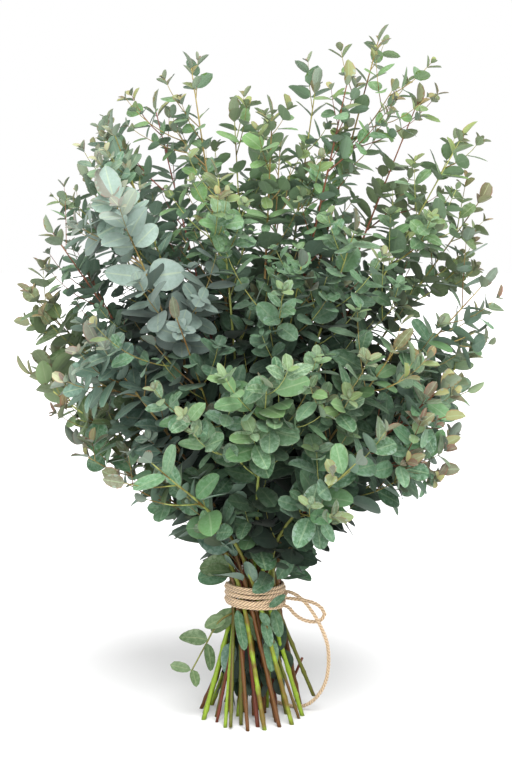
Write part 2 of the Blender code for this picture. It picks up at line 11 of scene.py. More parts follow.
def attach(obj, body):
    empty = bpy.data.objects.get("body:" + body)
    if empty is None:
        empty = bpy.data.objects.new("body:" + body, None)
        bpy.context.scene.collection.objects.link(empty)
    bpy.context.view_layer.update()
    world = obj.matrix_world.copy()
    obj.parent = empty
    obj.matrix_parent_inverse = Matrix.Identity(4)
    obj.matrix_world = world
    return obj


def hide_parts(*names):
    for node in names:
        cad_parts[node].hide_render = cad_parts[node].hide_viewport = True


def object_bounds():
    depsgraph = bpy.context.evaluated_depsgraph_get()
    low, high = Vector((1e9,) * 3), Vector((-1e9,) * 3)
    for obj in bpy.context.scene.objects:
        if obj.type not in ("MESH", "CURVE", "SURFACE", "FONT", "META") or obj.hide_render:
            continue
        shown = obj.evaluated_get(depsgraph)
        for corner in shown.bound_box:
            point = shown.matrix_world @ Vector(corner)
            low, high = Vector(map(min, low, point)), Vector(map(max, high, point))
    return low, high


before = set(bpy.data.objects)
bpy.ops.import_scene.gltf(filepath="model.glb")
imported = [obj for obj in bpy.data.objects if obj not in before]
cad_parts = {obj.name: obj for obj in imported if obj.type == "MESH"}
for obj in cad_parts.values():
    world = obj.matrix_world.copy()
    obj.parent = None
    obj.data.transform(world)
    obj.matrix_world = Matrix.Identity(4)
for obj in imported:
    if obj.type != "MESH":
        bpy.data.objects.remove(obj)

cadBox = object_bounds()
up = Vector((0, 0, 1))


def newObject(name, data):
    made = bpy.data.objects.new(name, data)
    bpy.context.scene.collection.objects.link(made)
    return made

# The bunch's driving sizes, in metres and degrees, as its solids were built
bunch = {
    "seed": 7,
    "tieHeight": 0.1155,
    "waistRadius": 0.0222,
    "waistSpacing": 0.0066,
    "baseSpread": 2.4,
    "baseTurn": 46,
    "headTurn": 40,
    "waistOpening": -1.0,
    "waistSwirl": 14.0,
    "widestLean": 1.3,
    "underFoot": 0.006,
    "footSpacing": 0.0082,
    "footToTail": 0.0052,
    "upperParts": 5,
    "tieReach": 0.0155,
    "tieLow": 0.1012,
    "stemGap": 0.0008,
    "twineRadius": 0.00175,
    "bundleEdge": 0.0021,
    "twineGap": 0.0004,
    "headLevel": 0.35,
    "headRise": 0.1,
    "headPull": 0.85,
    "easing": {"rounds": 400, "part": 0.35, "footRounds": 80},
    "tailLow": 18,
}
twigPlan = {
    "radius": 0.0009,
    "tipRadius": 0.0008,
    "length": (0.055, 0.1),
    "shortening": 0.4,
    "angle": 42,
    "parts": 2,
    "places": (0.5, 0.76),
    "slide": 0.07,
    "tries": 12,
    "lift": 0.35,
    "onwards": 0.3,
    "drawnTip": 0.8,
    "leafSize": 0.82,
    "firstPair": 0.35,
    "pairSpacing": 0.75,
}
leafPlan = {
    "length": 0.037,
    "width": 0.76,
    "thickness": 0.0013,
    "cup": 0.12,
    "keel": 0.25,
    "dish": 0.03,
    "droop": 0.12,
    "middle": 0.45,
    "middleDroop": 0.2,
    "angle": (46, 74),
    "steeper": 0.3,
    "tip": 0.6,
    "tipDepth": 0.002,
    "tipAngle": 12,
    "room": 0.0005,
    "outline": ((0.07, 0.05), (0.42, 1.0), (0.78, 0.68)),
    "rootDepth": 0.001,
    "firstHeight": 0.13,
    "firstPlace": (0.2, 0.8),
    "spacing": 0.08,
    "turnVary": 0.25,
    "most": 345,
    "headMiddle": 0.34,
    "headRadius": 0.24,
    "tries": 7,
    "sizes": (0.82, 1.15),
    "taper": 0.45,
    "lastPair": 0.97,
    "looseness": (0.35, 0.12),
    "shorter": 0.05,
    "floorRoom": 0.004,
    "youngFrom": {"main": 0.85, "twig": 0.65, "spray": 0.55},
    "youngPower": 1.3,
    "lessYoung": 0.6,
    "sideways": 0.6,
    "toFront": 1.1,
}

# Each stem: its tip in centimetres, its thickness at the tie and its end's lift in millimetres, its leaves'
# size against the usual one, its leaves' colour and its bark
stemTable = {
    "stem_01": (-17.9, 0.0, 27.5, 3.6, 0, 1.1, "grey", "brown"),
    "stem_02": (-22.2, -1.0, 34.0, 4.2, 0, 1.0, "dusky", "lime"),
    "stem_03": (-22.0, 4.0, 41.0, 3.4, 2, 0.9, "dusky", "olive"),
    "stem_04": (-19.4, 0.0, 47.0, 4.0, 0, 0.85, "grey", "red"),
    "stem_05": (-16.2, 3.0, 52.0, 3.6, 1, 0.85, "grey", "olive"),
    "stem_06": (-13.4, -1.0, 56.5, 2.8, 0, 0.9, "blue", "olive"),
    "stem_07": (-9.6, 4.0, 58.5, 2.6, 1, 0.95, "grey", "pink"),
    "stem_08": (-6.0, 0.5, 62.0, 4.4, 2, 0.8, "grey", "brown"),
    "stem_09": (-2.0, 5.0, 58.0, 3.6, 0, 0.95, "fresh", "lime"),
    "stem_10": (1.6, -1.0, 58.0, 4.2, 1, 0.95, "fresh", "brown"),
    "stem_11": (5.8, 2.0, 60.5, 4.0, 0, 0.9, "grey", "olive"),
    "stem_12": (8.6, -3.0, 61.0, 4.4, 2, 0.85, "grey", "red"),
    "stem_13": (11.6, 1.0, 64.5, 4.6, 0, 0.85, "fresh", "brown"),
    "stem_14": (15.6, 3.0, 59.0, 4.0, 1, 0.85, "dusky", "red"),
    "stem_15": (19.6, -1.0, 56.0, 3.2, 0, 0.95, "fresh", "lime"),
    "stem_16": (21.8, 2.0, 50.0, 3.8, 3, 0.85, "dusky", "olive"),
    "stem_17": (22.0, -2.0, 42.5, 4.0, 0, 0.95, "grey", "brown"),
    "stem_18": (21.6, 2.0, 35.5, 3.6, 0, 1.05, "fresh", "lime"),
    "stem_19": (19.0, 0.0, 27.0, 4.2, 8, 1.05, "grey", "olive"),
    "stem_20": (-13.4, -8.0, 51.5, 4.4, 0, 1.3, "blue", "brown"),
    "stem_21": (-7.2, -14.0, 40.5, 2.8, 0, 0.95, "grey", "olive"),
    "stem_22": (-3.4, -9.0, 52.5, 3.8, 0, 0.9, "grey", "lime"),
    "stem_23": (1.0, -16.8, 35.0, 4.4, 0, 1.1, "fresh", "lime"),
    "stem_24": (4.2, -12.5, 45.0, 4.0, 0, 0.95, "grey", "olive"),
    "stem_25": (9.0, -12.0, 48.0, 3.8, 0, 1.0, "grey", "lime"),
    "stem_26": (13.0, -14.0, 38.0, 4.2, 0, 1.05, "fresh", "brown"),
    "stem_27": (18.0, -9.5, 34.0, 4.4, 0, 1.1, "grey", "red"),
    "stem_28": (9.5, -16.6, 28.0, 3.8, 0, 1.1, "grey", "olive"),
    "stem_29": (-15.0, -9.0, 38.0, 3.8, 0, 1.1, "blue", "brown"),
    "stem_30": (-10.0, -16.0, 28.0, 4.2, 0, 1.1, "grey", "lime"),
    "stem_31": (-16.0, 10.5, 36.0, 3.4, 0, 1.1, "grey", "lime"),
    "stem_32": (-11.0, 9.5, 50.5, 3.0, 1, 0.95, "blue", "red"),
    "stem_33": (-8.5, 17.6, 33.0, 4.4, 0, 1.1, "grey", "lime"),
    "stem_34": (-3.5, 15.2, 45.0, 4.0, 0, 1.0, "grey", "olive"),
    "stem_35": (2.5, 10.0, 54.5, 3.6, 1, 0.9, "fresh", "brown"),
    "stem_36": (1.5, 18.9, 32.0, 4.4, 0, 1.1, "grey", "olive"),
    "stem_37": (8.5, 14.0, 45.5, 3.8, 0, 1.0, "grey", "brown"),
    "stem_38": (15.5, 10.0, 46.0, 3.6, 1, 0.95, "fresh", "red"),
    "stem_39": (11.0, 17.2, 31.0, 4.0, 0, 1.1, "grey", "lime"),
    "stem_40": (17.0, 11.0, 33.5, 3.8, 0, 1.05, "grey", "brown"),
}

# Where the outer stems stand: x, y and lift in millimetres
knownFeet = (
    (8.7, -49.5, 0), (34.1, -31.9, 0), (41.0, -12.3, 0), (61.0, 19.0, 14), (40.8, 45.0, 0), (29.0, 16.5, 0),
    (11.6, 25.0, 0), (1.7, -25.4, 0), (-13.5, -20.5, 0), (-27.5, -41.5, 0), (-35.5, -24.0, 0),
    (-47.9, -15.6, 0), (-51.0, 22.0, 0),
)
hangingTwig = ((-32.6, -18.0, 94.8), (-45.1, -19.0, 73.3), (-59.4, -20.0, 46.6))
hangingLeaves = (
    (0.52, (-0.95, -0.1, 0.26), 27), (0.56, (0.25, -0.35, -0.93), 26), (0.975, (-0.95, 0.05, 0.25), 21),
    (0.96, (0.3, -0.45, -0.88), 17), (0.12, (-0.75, -0.2, -0.3), 22), (0.2, (0.1, -0.4, -0.9), 27),
)
fork = ((38.2, 37.0, 24.4), (45.0, 32.0, 46.7))
rimLeaves = (
    (197, 137, 185, -4, 30), (-15, 142, -8, 18, 27), (-58, 132, -50, 55, 29), (-100, 132, -110, 62, 26),
    (30, 140, 30, 10, 28), (75, 138, 70, 20, 29), (115, 140, 120, 5, 28), (155, 139, 160, 20, 27),
    (-135, 140, -140, 15, 28), (-95, 98, -95, -72, 27), (-60, 97, -55, -70, 26), (-125, 98, -130, -75, 24),
    (10, 97, 5, -68, 24), (100, 98, 100, -70, 26), (150, 98, 150, -70, 25), (55, 98, 50, -72, 25),
)

# The routes of the twine's loop and tail, in millimetres
loopRoute = (
    (30.6, -9.0, 114.0), (37.0, -12.5, 113.9), (44.0, -14.5, 113.4), (50.8, -15.5, 112.2),
    (57.4, -16.0, 109.6), (62.4, -16.0, 105.2), (64.6, -16.0, 100.2), (62.2, -15.8, 95.6),
    (57.2, -15.5, 93.2), (50.4, -15.2, 93.2), (43.3, -14.6, 95.4), (36.8, -13.5, 99.6), (32.4, -12.2, 105.0),
)
tailRoute = (
    (29.5, -5.0, 119.5), (37.3, -13.0, 118.5), (44.3, -19.5, 114.5), (49.5, -21.5, 108.8),
    (53.8, -22.5, 102.8), (58.1, -22.0, 95.5), (61.9, -21.0, 87.4), (65.7, -18.5, 77.5), (68.0, -14.5, 66.6),
    (68.5, -9.0, 49.3), (66.0, -2.5, 32.0), (59.0, 4.5, 17.0), (49.5, 12.0, 6.5), (39.5, 20.5, 2.1),
    (28.0, 30.0, 1.9), (18.0, 40.0, 1.9), (9.0, 49.5, 1.9),
)

# The camera stands where the photograph was taken from
camera = {"place": (0.0009, -1.888, 0.545), "lens": 96.8, "down": 7.0}
cameraData = bpy.data.cameras.new("camera")
cameraData.lens = camera["lens"]
cameraObject = newObject("camera", cameraData)
cameraObject.location = camera["place"]
cameraObject.rotation_euler = (math.radians(90 - camera["down"]), 0, 0)
bpy.context.scene.camera = cameraObject


# Lines and curves

def hermite(start, end, startSlope, endSlope, share):
    two, three = share ** 2, share ** 3
    ends = start * (2 * three - 3 * two + 1) + end * (3 * two - 2 * three)
    return ends + startSlope * (three - 2 * two + share) + endSlope * (three - two)


def pointOn(line, share, radii=None):
    lengths = [(b - a).length for a, b in zip(line, line[1:])]
    left = share * sum(lengths)
    for i, length in enumerate(lengths):
        if left <= length or i == len(lengths) - 1:
            break
        left -= length
    part = min(1, left / length)
    place = line[i].lerp(line[i + 1], part)
    axis = (line[i + 1] - line[i]).normalized()
    if radii is None:
        return place, axis
    return place, axis, radii[i] * (1 - part) + radii[i + 1] * part


def lineLength(line):
    return sum((b - a).length for a, b in zip(line, line[1:]))


def sampled(line, step=0.003):
    count = max(3, int(lineLength(line) / step))
    return np.array([list(pointOn(line, i / count)[0]) for i in range(count + 1)])


def slopesOf(line):
    # The direction of a line at each of its points
    ways = [(b - a).normalized() for a, b in zip(line, line[1:])]
    return [ways[0]] + [(a + b).normalized() for a, b in zip(ways, ways[1:])] + [ways[-1]]


def rounded(line, parts):
    # A line with its corners eased, through all of its points
    slopes = slopesOf(line)
    eased = []
    for i, (start, end) in enumerate(zip(line, line[1:])):
        span = (end - start).length
        leaving, coming = slopes[i] * span, slopes[i + 1] * span
        eased += [hermite(start, end, leaving, coming, j / parts) for j in range(parts)]
    return eased + [line[-1]]


def smoothRoute(route, parts):
    places = [Vector(place) / 1000 for place in route]
    fine = []
    for i in range(len(places) - 1):
        before = places[max(0, i - 1)]
        after = places[min(len(places) - 1, i + 2)]
        start, end = places[i], places[i + 1]
        for step in range(12):
            fine.append(hermite(start, end, (end - before) / 2, (after - start) / 2, step / 12))
    fine.append(places[-1])
    return [pointOn(fine, i / parts)[0] for i in range(parts + 1)]


def thinned(radius, count, tipRadius):
    shares = [i / (count - 1) for i in range(count)]
    return [radius * (1 - share ** 1.6) + tipRadius * share ** 1.6 for share in shares]


def around(axis, angle):
    first = axis.cross(Vector((0.31, 0.17, 0.93))).normalized()
    return first * math.cos(angle) + axis.cross(first) * math.sin(angle)


def squareTo(way, vector):
    # The part of a vector that is square to a way
    return (vector - way * way.dot(vector)).normalized()


def levelWay(angle):
    return Vector((math.cos(angle), math.sin(angle), 0))


# Where the stems go

def readStems():
    read = []
    for name, (x, y, z, thick, lift, leafSize, leaves, bark) in stemTable.items():
        read.append({
            "name": name, "tip": Vector((x, y, z)) / 100, "radius": thick / 2000, "lift": lift / 1000,
            "leafSize": leafSize, "leaves": leaves, "bark": bark, "twigs": [], "known": [],
            "leavesPlaced": [],
        })
    return read


def easedApart(places, least, reach):
    places = places.copy()
    for _ in range(bunch["easing"]["rounds"]):
        away = places[:, None] - places[None, :]
        far = np.linalg.norm(away, axis=2) + np.eye(len(places))
        short = np.clip(least - far, 0, None) * (1 - np.eye(len(places)))
        places += bunch["easing"]["part"] * (away / far[..., None] * short[..., None]).sum(axis=1)
        out = np.linalg.norm(places, axis=1)
        places *= np.minimum(1, reach / np.maximum(out, 1e-9))[:, None]
    return places


def waistPlaces(stems):
    places = []
    for stem in stems:
        tip = stem["tip"]
        lean = math.hypot(tip.x, tip.y) / (tip.z - bunch["tieHeight"])
        reach = bunch["waistRadius"] * min(1, lean / bunch["widestLean"]) ** 0.5
        bearing = math.atan2(tip.y, tip.x) + math.radians(bunch["headTurn"])
        places.append((reach * math.cos(bearing), reach * math.sin(bearing)))
    return easedApart(np.array(places), bunch["waistSpacing"], bunch["waistRadius"])


def turned(place, angle):
    return Matrix.Rotation(angle, 3, "Z") @ place


def pushedOff(foot, others, least):
    for other in others:
        away = foot - other
        if 0 < away.length < least:
            foot = foot + away.normalized() * (least - away.length)
    return foot


def setFeet(stems, places):
    baseTurn = math.radians(bunch["baseTurn"])
    feet = [turned(Vector((x, y, 0)), baseTurn) * bunch["baseSpread"] for x, y in places]
    known = {}
    for x, y, lift in knownFeet:
        place = Vector((x, y, 0)) / 1000
        free = [i for i in range(len(feet)) if i not in known]
        nearest = min(free, key=lambda i: (feet[i] - place).length)
        feet[nearest] = place
        known[nearest] = lift / 1000
    # The feet leave a lane for the twine's tail where it runs low
    lane = [Vector((x, y, 0)) / 1000 for x, y, z in tailRoute if z < bunch["tailLow"]]
    lane = [start.lerp(end, i / 4) for start, end in zip(lane, lane[1:]) for i in range(4)] + lane[-1:]
    for _ in range(bunch["easing"]["footRounds"]):
        for i in range(len(feet)):
            if i not in known:
                feet[i] = pushedOff(feet[i], feet[:i] + feet[i + 1:], bunch["footSpacing"])
                feet[i] = pushedOff(feet[i], lane, bunch["footToTail"])
    for i, stem in enumerate(stems):
        stem["foot"] = feet[i]
        stem["lift"] = known.get(i, stem["lift"])


def stemLine(stem, place):
    waist = Vector((place[0], place[1], 0))
    slope = up + waist * bunch["waistOpening"] - turned(waist, math.pi / 2) * bunch["waistSwirl"]
    waist = waist + up * bunch["tieHeight"]
    low = waist - slope * bunch["tieReach"]
    high = waist + slope * bunch["tieReach"]
    below = stem["foot"] + (stem["foot"] - low).normalized() * bunch["underFoot"]
    inward = (stem["tip"] - high).normalized()
    tip = stem["tip"] - inward * leafPlan["length"] * stem["leafSize"] * leafPlan["tip"]
    chord = tip - high
    level = Vector((chord.x, chord.y, 0)) / chord.length
    start = slope.normalized() * chord.length
    end = (chord.normalized() + bunch["headLevel"] * level + bunch["headRise"] * up).normalized()
    end = end * chord.length * bunch["headPull"]
    count = bunch["upperParts"]
    return [below, low] + [hermite(high, tip, start, end, i / count) for i in range(count + 1)]


def farEnough(line, radius, others):
    mine = np.array([list(pointOn(line, i / 12)[0]) for i in range(2, 13)])
    for other, otherRadius in others:
        gap = np.linalg.norm(mine[:, None] - other[None], axis=2).min()
        if gap < radius + otherRadius + bunch["stemGap"]:
            return False
    return True


def twigLine(root, axis, out, length, lift=twigPlan["lift"], parts=twigPlan["parts"]):
    lean = math.radians(twigPlan["angle"])
    start = axis * math.cos(lean) + out * math.sin(lean)
    end = (start + up * lift + axis * twigPlan["onwards"]).normalized()
    tip = root + (start + end) * length / 2
    return [hermite(root, tip, start * length, end * length, i / parts) for i in range(parts + 1)]


def growTwigs(stems):
    lines = {stem["name"]: [(sampled(stem["line"]), stem["radius"])] for stem in stems}
    for stem in stems:
        draw = random.Random(f"{bunch['seed']} twigs {stem['name']}")
        upper = stem["line"][2:]
        for place in twigPlan["places"]:
            others = [pair for name, pairs in lines.items() if name != stem["name"] for pair in pairs]
            for _ in range(twigPlan["tries"]):
                share = place + draw.uniform(-twigPlan["slide"], twigPlan["slide"])
                root, axis = pointOn(upper, share)
                out = around(axis, draw.uniform(0, math.tau))
                if out.dot(Vector((root.x, root.y, 0))) < 0:
                    out = -out
                length = draw.uniform(*twigPlan["length"]) * (1 - twigPlan["shortening"] * place)
                line = twigLine(root, axis, out, length)
                if not farEnough(line, twigPlan["radius"], others):
                    continue
                stem["twigs"].append({"line": line, "share": share})
                lines[stem["name"]].append((sampled(line), twigPlan["radius"]))
                break


stems = readStems()
waist = waistPlaces(stems)
setFeet(stems, waist)
for stem, place in zip(stems, waist):
    stem["line"] = stemLine(stem, place)
    stem["radii"] = thinned(stem["radius"], len(stem["line"]), twigPlan["tipRadius"])
growTwigs(stems)
print("stems", len(stems), "twigs", sum(len(stem["twigs"]) for stem in stems))


# Leaves

seed = bunch["seed"]
crowd = {"low": np.zeros((20000, 3)), "high": np.zeros((20000, 3)), "trees": [], "owners": []}


def treeOf(points, faces):
    corners = [list(point) for point in points]
    tree = BVHTree.FromPolygons(corners, faces)
    return {"tree": tree, "low": np.min(corners, axis=0), "high": np.max(corners, axis=0)}


def addToCrowd(solid, owner=""):
    i = len(crowd["trees"])
    crowd["low"][i], crowd["high"][i] = solid["low"], solid["high"]
    crowd["trees"].append(solid["tree"])
    crowd["owners"].append(owner)


def touches(solid, spare=""):
    # Whether a solid crosses anything of the crowd but the wood of the stem that it grows on
    count = len(crowd["trees"])
    near = (crowd["low"][:count] <= solid["high"]) & (crowd["high"][:count] >= solid["low"])
    for i in np.flatnonzero(near.all(axis=1)):
        if crowd["owners"][i] != spare and crowd["trees"][i].overlap(solid["tree"]):
            return True
    return False


def framesAlong(line):
    # For each point of a line: its direction and two directions square to it that don't turn suddenly
    ways = slopesOf(line)
    first = around(ways[0], 0)
    frames = []
    for way in ways:
        first = squareTo(way, first)
        frames.append((way, first, way.cross(first)))
    return frames


def tubeOf(line, radii, sides):
    # The corners and faces of a closed tube round a line
    points = []
    for place, radius, (way, first, second) in zip(line, radii, framesAlong(line)):
        for i in range(sides):
            angle = math.tau * i / sides
            points.append(place + (first * math.cos(angle) + second * math.sin(angle)) * radius)
    faces = []
    for ring in range(len(line) - 1):
        for i in range(sides):
            j = (i + 1) % sides
            low, high = ring * sides, (ring + 1) * sides
            faces.append((low + i, low + j, high + j, high + i))
    faces.append(tuple(range(sides))[::-1])
    faces.append(tuple(range(len(points) - sides, len(points))))
    return points, faces


def coarseLeaf(root, along, face, length, room=0.0, thickness=leafPlan["thickness"]):
    # A leaf as its solid has it, for testing where there is room
    width = length * leafPlan["width"]
    side = along.cross(face).normalized()
    face = side.cross(along).normalized()
    middle = root + along * length * leafPlan["middle"]
    middle = middle - face * leafPlan["droop"] * length * leafPlan["middleDroop"]
    half, dish = thickness / 2 + room, leafPlan["dish"] * width
    points = [middle + face * (half + dish), middle - face * (half - dish)]
    droop = leafPlan["droop"] * length
    left, right = [], []
    for share, breadth in leafPlan["outline"]:
        out = side * (breadth * width / 2 + room)
        lift = leafPlan["cup"] * (breadth - leafPlan["keel"]) * width - droop * share ** 2
        rib = root + along * length * share + face * lift
        left.append(rib - out)
        right.append(rib + out)
    tip = root + along * (length + room) - face * leafPlan["droop"] * length
    points += left + [tip] + right[::-1] + [root]
    faces = []
    for one in range(2, 8):
        faces += [(one, one + 1, 1), (one + 1, one, 0)]
    faces += [(8, 2, 1), (2, 8, 9), (9, 0, 2), (9, 8, 0)]
    return points, faces


def atHeight(stem, height):
    line, radii = stem["line"], stem["radii"]
    i = next(i for i in range(len(line) - 1) if line[i + 1].z >= height or i == len(line) - 2)
    part = min(1, (height - line[i].z) / (line[i + 1].z - line[i].z))
    place = line[i].lerp(line[i + 1], part)
    return place, (line[i + 1] - line[i]).normalized(), radii[i] * (1 - part) + radii[i + 1] * part


def nearestStem(place, height=None):
    # The stem that passes nearest to a place
    height = place.z if height is None else height
    return min(stems, key=lambda each: (atHeight(each, height)[0] - place).length)


def bundleRadius(height):
    above = height - bunch["tieHeight"]
    widening = 1 + bunch["waistOpening"] * above + 0.5 * (bunch["waistSwirl"] * above) ** 2
    return bunch["waistRadius"] * widening + bunch["bundleEdge"] + bunch["twineGap"] + bunch["twineRadius"]


def setKnownGrowth():
    # The hanging twig, the fork and the leaves beside the tie go to the stems nearest to them
    route = [Vector(place) / 1000 for place in hangingTwig]
    stem = nearestStem(route[0], bunch["tieLow"])
    stem["hanging"] = [atHeight(stem, bunch["tieLow"])[0], *route]
    for share, way, length in hangingLeaves:
        root, along = pointOn(stem["hanging"], share)[0], Vector(way).normalized()
        stem["known"].append((root, along, squareTo(along, up), length / 1000))
    low, high = (Vector(place) / 1000 for place in fork)
    stem = nearestStem(low)
    stem["fork"] = [atHeight(stem, low.z)[0], high]
    for bearing, height, way, rise, length in rimLeaves:
        edge = levelWay(math.radians(bearing)) * bundleRadius(height / 1000)
        edge.z = height / 1000
        stem = nearestStem(edge)
        turn, lift = math.radians(way), math.radians(rise)
        along = Vector((math.cos(turn) * math.cos(lift), math.sin(turn) * math.cos(lift), math.sin(lift)))
        place, axis, radius = atHeight(stem, edge.z)
        root = place + squareTo(axis, along) * (radius - leafPlan["rootDepth"])
        stem["known"].append((root, along, squareTo(along, up), length / 1000))


def setBranches(stem):
    # Each leafy line of a stem as it was placed, and the eased line that is drawn for it
    upper = stem["line"][2:]
    bare = [i / 50 for i in range(50) if pointOn(upper, i / 50)[0].z < leafPlan["firstHeight"]]
    main = {
        "line": upper, "radii": stem["radii"][2:], "drawn": rounded(upper, 5), "kind": "main", "size": 1.0,
        "first": max(bare, default=0), "spacing": leafPlan["spacing"],
    }
    stem["branches"] = [main]
    for twig in stem["twigs"]:
        line = twig["line"]
        tipRadius = twigPlan["tipRadius"] * twigPlan["drawnTip"]
        shift = pointOn(main["drawn"], twig["share"])[0] - line[0]
        stem["branches"].append({
            "line": line, "radii": thinned(twigPlan["radius"], len(line), tipRadius),
            "drawn": [place + shift for place in rounded(line, 6)], "kind": "twig",
            "size": twigPlan["leafSize"], "first": twigPlan["firstPair"],
            "spacing": leafPlan["spacing"] * twigPlan["pairSpacing"],
        })


def leafSets(stem):
    # Opposite pairs, each square to the one below it, and a leaf at each tip
    draw = random.Random(f"{seed} leaves {stem['name']}")
    sets = []
    for branch in stem["branches"]:
        line, radii = branch["line"], branch["radii"]
        size = branch["size"] * leafPlan["length"] * stem["leafSize"]
        step = branch["spacing"] / lineLength(line)
        angle = draw.uniform(0, math.tau)
        share = branch["first"] + draw.uniform(*leafPlan["firstPlace"]) * step
        branch["pairs"] = []
        while share < leafPlan["lastPair"]:
            root, axis, radius = pointOn(line, share, radii)
            pair = []
            for turn in (0, math.pi):
                lean = math.radians(draw.uniform(*leafPlan["angle"])) * (1 - leafPlan["steeper"] * share ** 3)
                length = size * (1 - leafPlan["taper"] * share ** 3) * draw.uniform(*leafPlan["sizes"])
                pair.append((root, axis, radius, angle + turn, lean, length))
            fromMiddle = math.dist((root.x, root.y, root.z - leafPlan["headMiddle"]), (0, 0, 0))
            depth = 1 - fromMiddle / leafPlan["headRadius"]
            sets.append((draw.random() + depth, stem, branch, share, pair))
            branch["pairs"].append((share, angle))
            angle += math.pi / 2 + draw.uniform(-leafPlan["turnVary"], leafPlan["turnVary"])
            share += step
        branch["step"], branch["size"] = step, size
        root, axis = pointOn(line, 1)
        root, lean = root - axis * leafPlan["tipDepth"], math.radians(leafPlan["tipAngle"])
        sets.append((-1, stem, branch, 1, [(root, axis, 0, angle, lean, size * leafPlan["tip"])]))
    return sets


def tryLeaf(stem, root, along, face, length):
    solid = treeOf(*coarseLeaf(root, along, face, length, room=leafPlan["room"]))
    if solid["low"][2] < leafPlan["floorRoom"] or touches(solid, stem["name"]):
        return False
    addToCrowd(treeOf(*coarseLeaf(root, along, face, length)))
    return True


def keepLeaf(stem, root, along, face, length, kind, youth=0.0, **more):
    leaf = {"root": root, "along": along, "face": face, "length": length, "kind": kind, "youth": youth}
    stem["leavesPlaced"].append({**leaf, **more})


def leafWays(axis, turn, lean, draw, trial, looseness):
    # A leaf's way out of the wood, its own way and its face's, further aside at each new trial
    out = around(axis, turn + draw.uniform(-looseness[0], looseness[0]) * trial)
    steer = lean + draw.uniform(-looseness[1], looseness[1]) * trial
    along = axis * math.cos(steer) + out * math.sin(steer)
    return out, along, axis * math.sin(steer) - out * math.cos(steer)


def growLeaves():
    placed = 0
    for stem in stems:
        for root, along, face, length in stem["known"]:
            if tryLeaf(stem, root, along, face, length):
                # The ones that point to a side turn their faces to the front
                if abs(along.x) > leafPlan["sideways"]:
                    face = (face - Vector((0, leafPlan["toFront"], 0))).normalized()
                keepLeaf(stem, root, along, face, length, "known")
                placed += 1
    waiting = [each for stem in stems for each in leafSets(stem)]
    waiting.sort(key=lambda each: each[0])
    for _, stem, branch, share, pair in waiting:
        if placed >= leafPlan["most"]:
            break
        for root, axis, radius, turn, lean, length in pair:
            draw = random.Random(f"{seed} {stem['name']} {turn:.6f}")
            for trial in range(leafPlan["tries"]):
                out, along, face = leafWays(axis, turn, lean, draw, trial, leafPlan["looseness"])
                start = root + out * max(0, radius - leafPlan["rootDepth"])
                long = length * (1 - leafPlan["shorter"] * trial)
                if tryLeaf(stem, start, along, face, long):
                    placed += 1
                    shift = pointOn(branch["drawn"], share)[0] - pointOn(branch["line"], share)[0]
                    youth = youthAt(branch, share) * leafPlan["lessYoung"]
                    keepLeaf(stem, start + shift, along, face, long, branch["kind"], youth)
                    break
    print("leaves of the solids", placed)


def youthAt(branch, share):
    # How young the growth is: 0 on the old wood and 1 at a tip, later on the main stems than on the twigs
    start = leafPlan["youngFrom"][branch["kind"]]
    return min(1, max(0, (share - start) / (1 - start))) ** leafPlan["youngPower"]


for stem in stems:
    setBranches(stem)
    wood = [(stem["line"], stem["radii"], 8)]
    wood += [(branch["line"], branch["radii"], 4) for branch in stem["branches"][1:]]
    for line, radii, sides in wood:
        addToCrowd(treeOf(*tubeOf(line, radii, sides)), stem["name"])
setKnownGrowth()
hangingRadii = thinned(0.001, 4, twigPlan["tipRadius"])
for stem in stems:
    if "hanging" in stem:
        addToCrowd(treeOf(*tubeOf(stem["hanging"], hangingRadii, 4)), stem["name"])

windingPlan = {"turns": 5, "pitch": 0.0043, "start": -18, "pointsPerTurn": 14}


def windingLine(plan):
    count = plan["turns"] * plan["pointsPerTurn"]
    points = []
    for i in range(count + 1):
        angle = math.radians(plan["start"]) + math.tau * i / plan["pointsPerTurn"]
        height = bunch["tieHeight"] + plan["pitch"] * (i / plan["pointsPerTurn"] - plan["turns"] / 2)
        reach = bundleRadius(height) / math.cos(math.pi / plan["pointsPerTurn"])
        points.append(Vector((reach * math.cos(angle), reach * math.sin(angle), height)))
    return points


loopLine = smoothRoute(loopRoute, 14)
tailLine = smoothRoute(tailRoute, 28)
for line in (windingLine(windingPlan), loopLine, tailLine):
    radius = bunch["twineRadius"] + leafPlan["room"]
    addToCrowd(treeOf(*tubeOf(line, [radius] * len(line), 12)), "twine")
growLeaves()


# The growth that the solids leave out

morePlan = {
    "size": 0.9,
    "sizes": (0.8, 1.12),
    "looseness": (0.3, 0.14),
    "shorter": 0.06,
    "trials": 4,
    "rootDepth": 0.0004,
    "steeperYoung": 0.4,
    "seenAt": 0.6,
    "testSize": 0.72,
    "testThickness": 0.0008,
    "innerPart": 0.5,
    "innerEdge": 0.8,
    "innerSpacing": 0.027,
    "innerSizes": (0.9, 1.15),
    "lastPair": 0.975,
    "tips": ((0.985, 0.5), (1.0, 0.34)),
    "edge": {"from": 0.66, "span": 0.28, "middle": 0.2, "side": 0.15, "topFrom": 0.4, "topSpan": 0.12},
}
sprayPlan = {
    "count": 12,
    "onTwigs": 4,
    "onPaleStem": 9,
    "moreAtUpperLeft": 4,
    "length": (0.045, 0.085),
    "atFoot": 1.05,
    "shorterUp": 0.3,
    "longerInDepth": 1.2,
    "low": 0.2,
    "shorterLow": 0.7,
    "lift": (0.5, 1.3),
    "radius": 0.0007,
    "tipRadius": 0.0004,
    "edge": 0.97,
    "pairs": 0.0145,
    "pairsVary": (0.85, 1.2),
    "firstPair": 0.28,
    "last": 0.96,
    "towardsFoot": 0.75,
    "turnedOut": 0.6,
    "shorter": 0.12,
    "tries": 6,
    "leafSizes": {"lowStems": 0.78, "highStems": 0.66, "onTwigs": 0.9},
    "highFrom": 0.45,
    "upperLeft": 0.48,
}
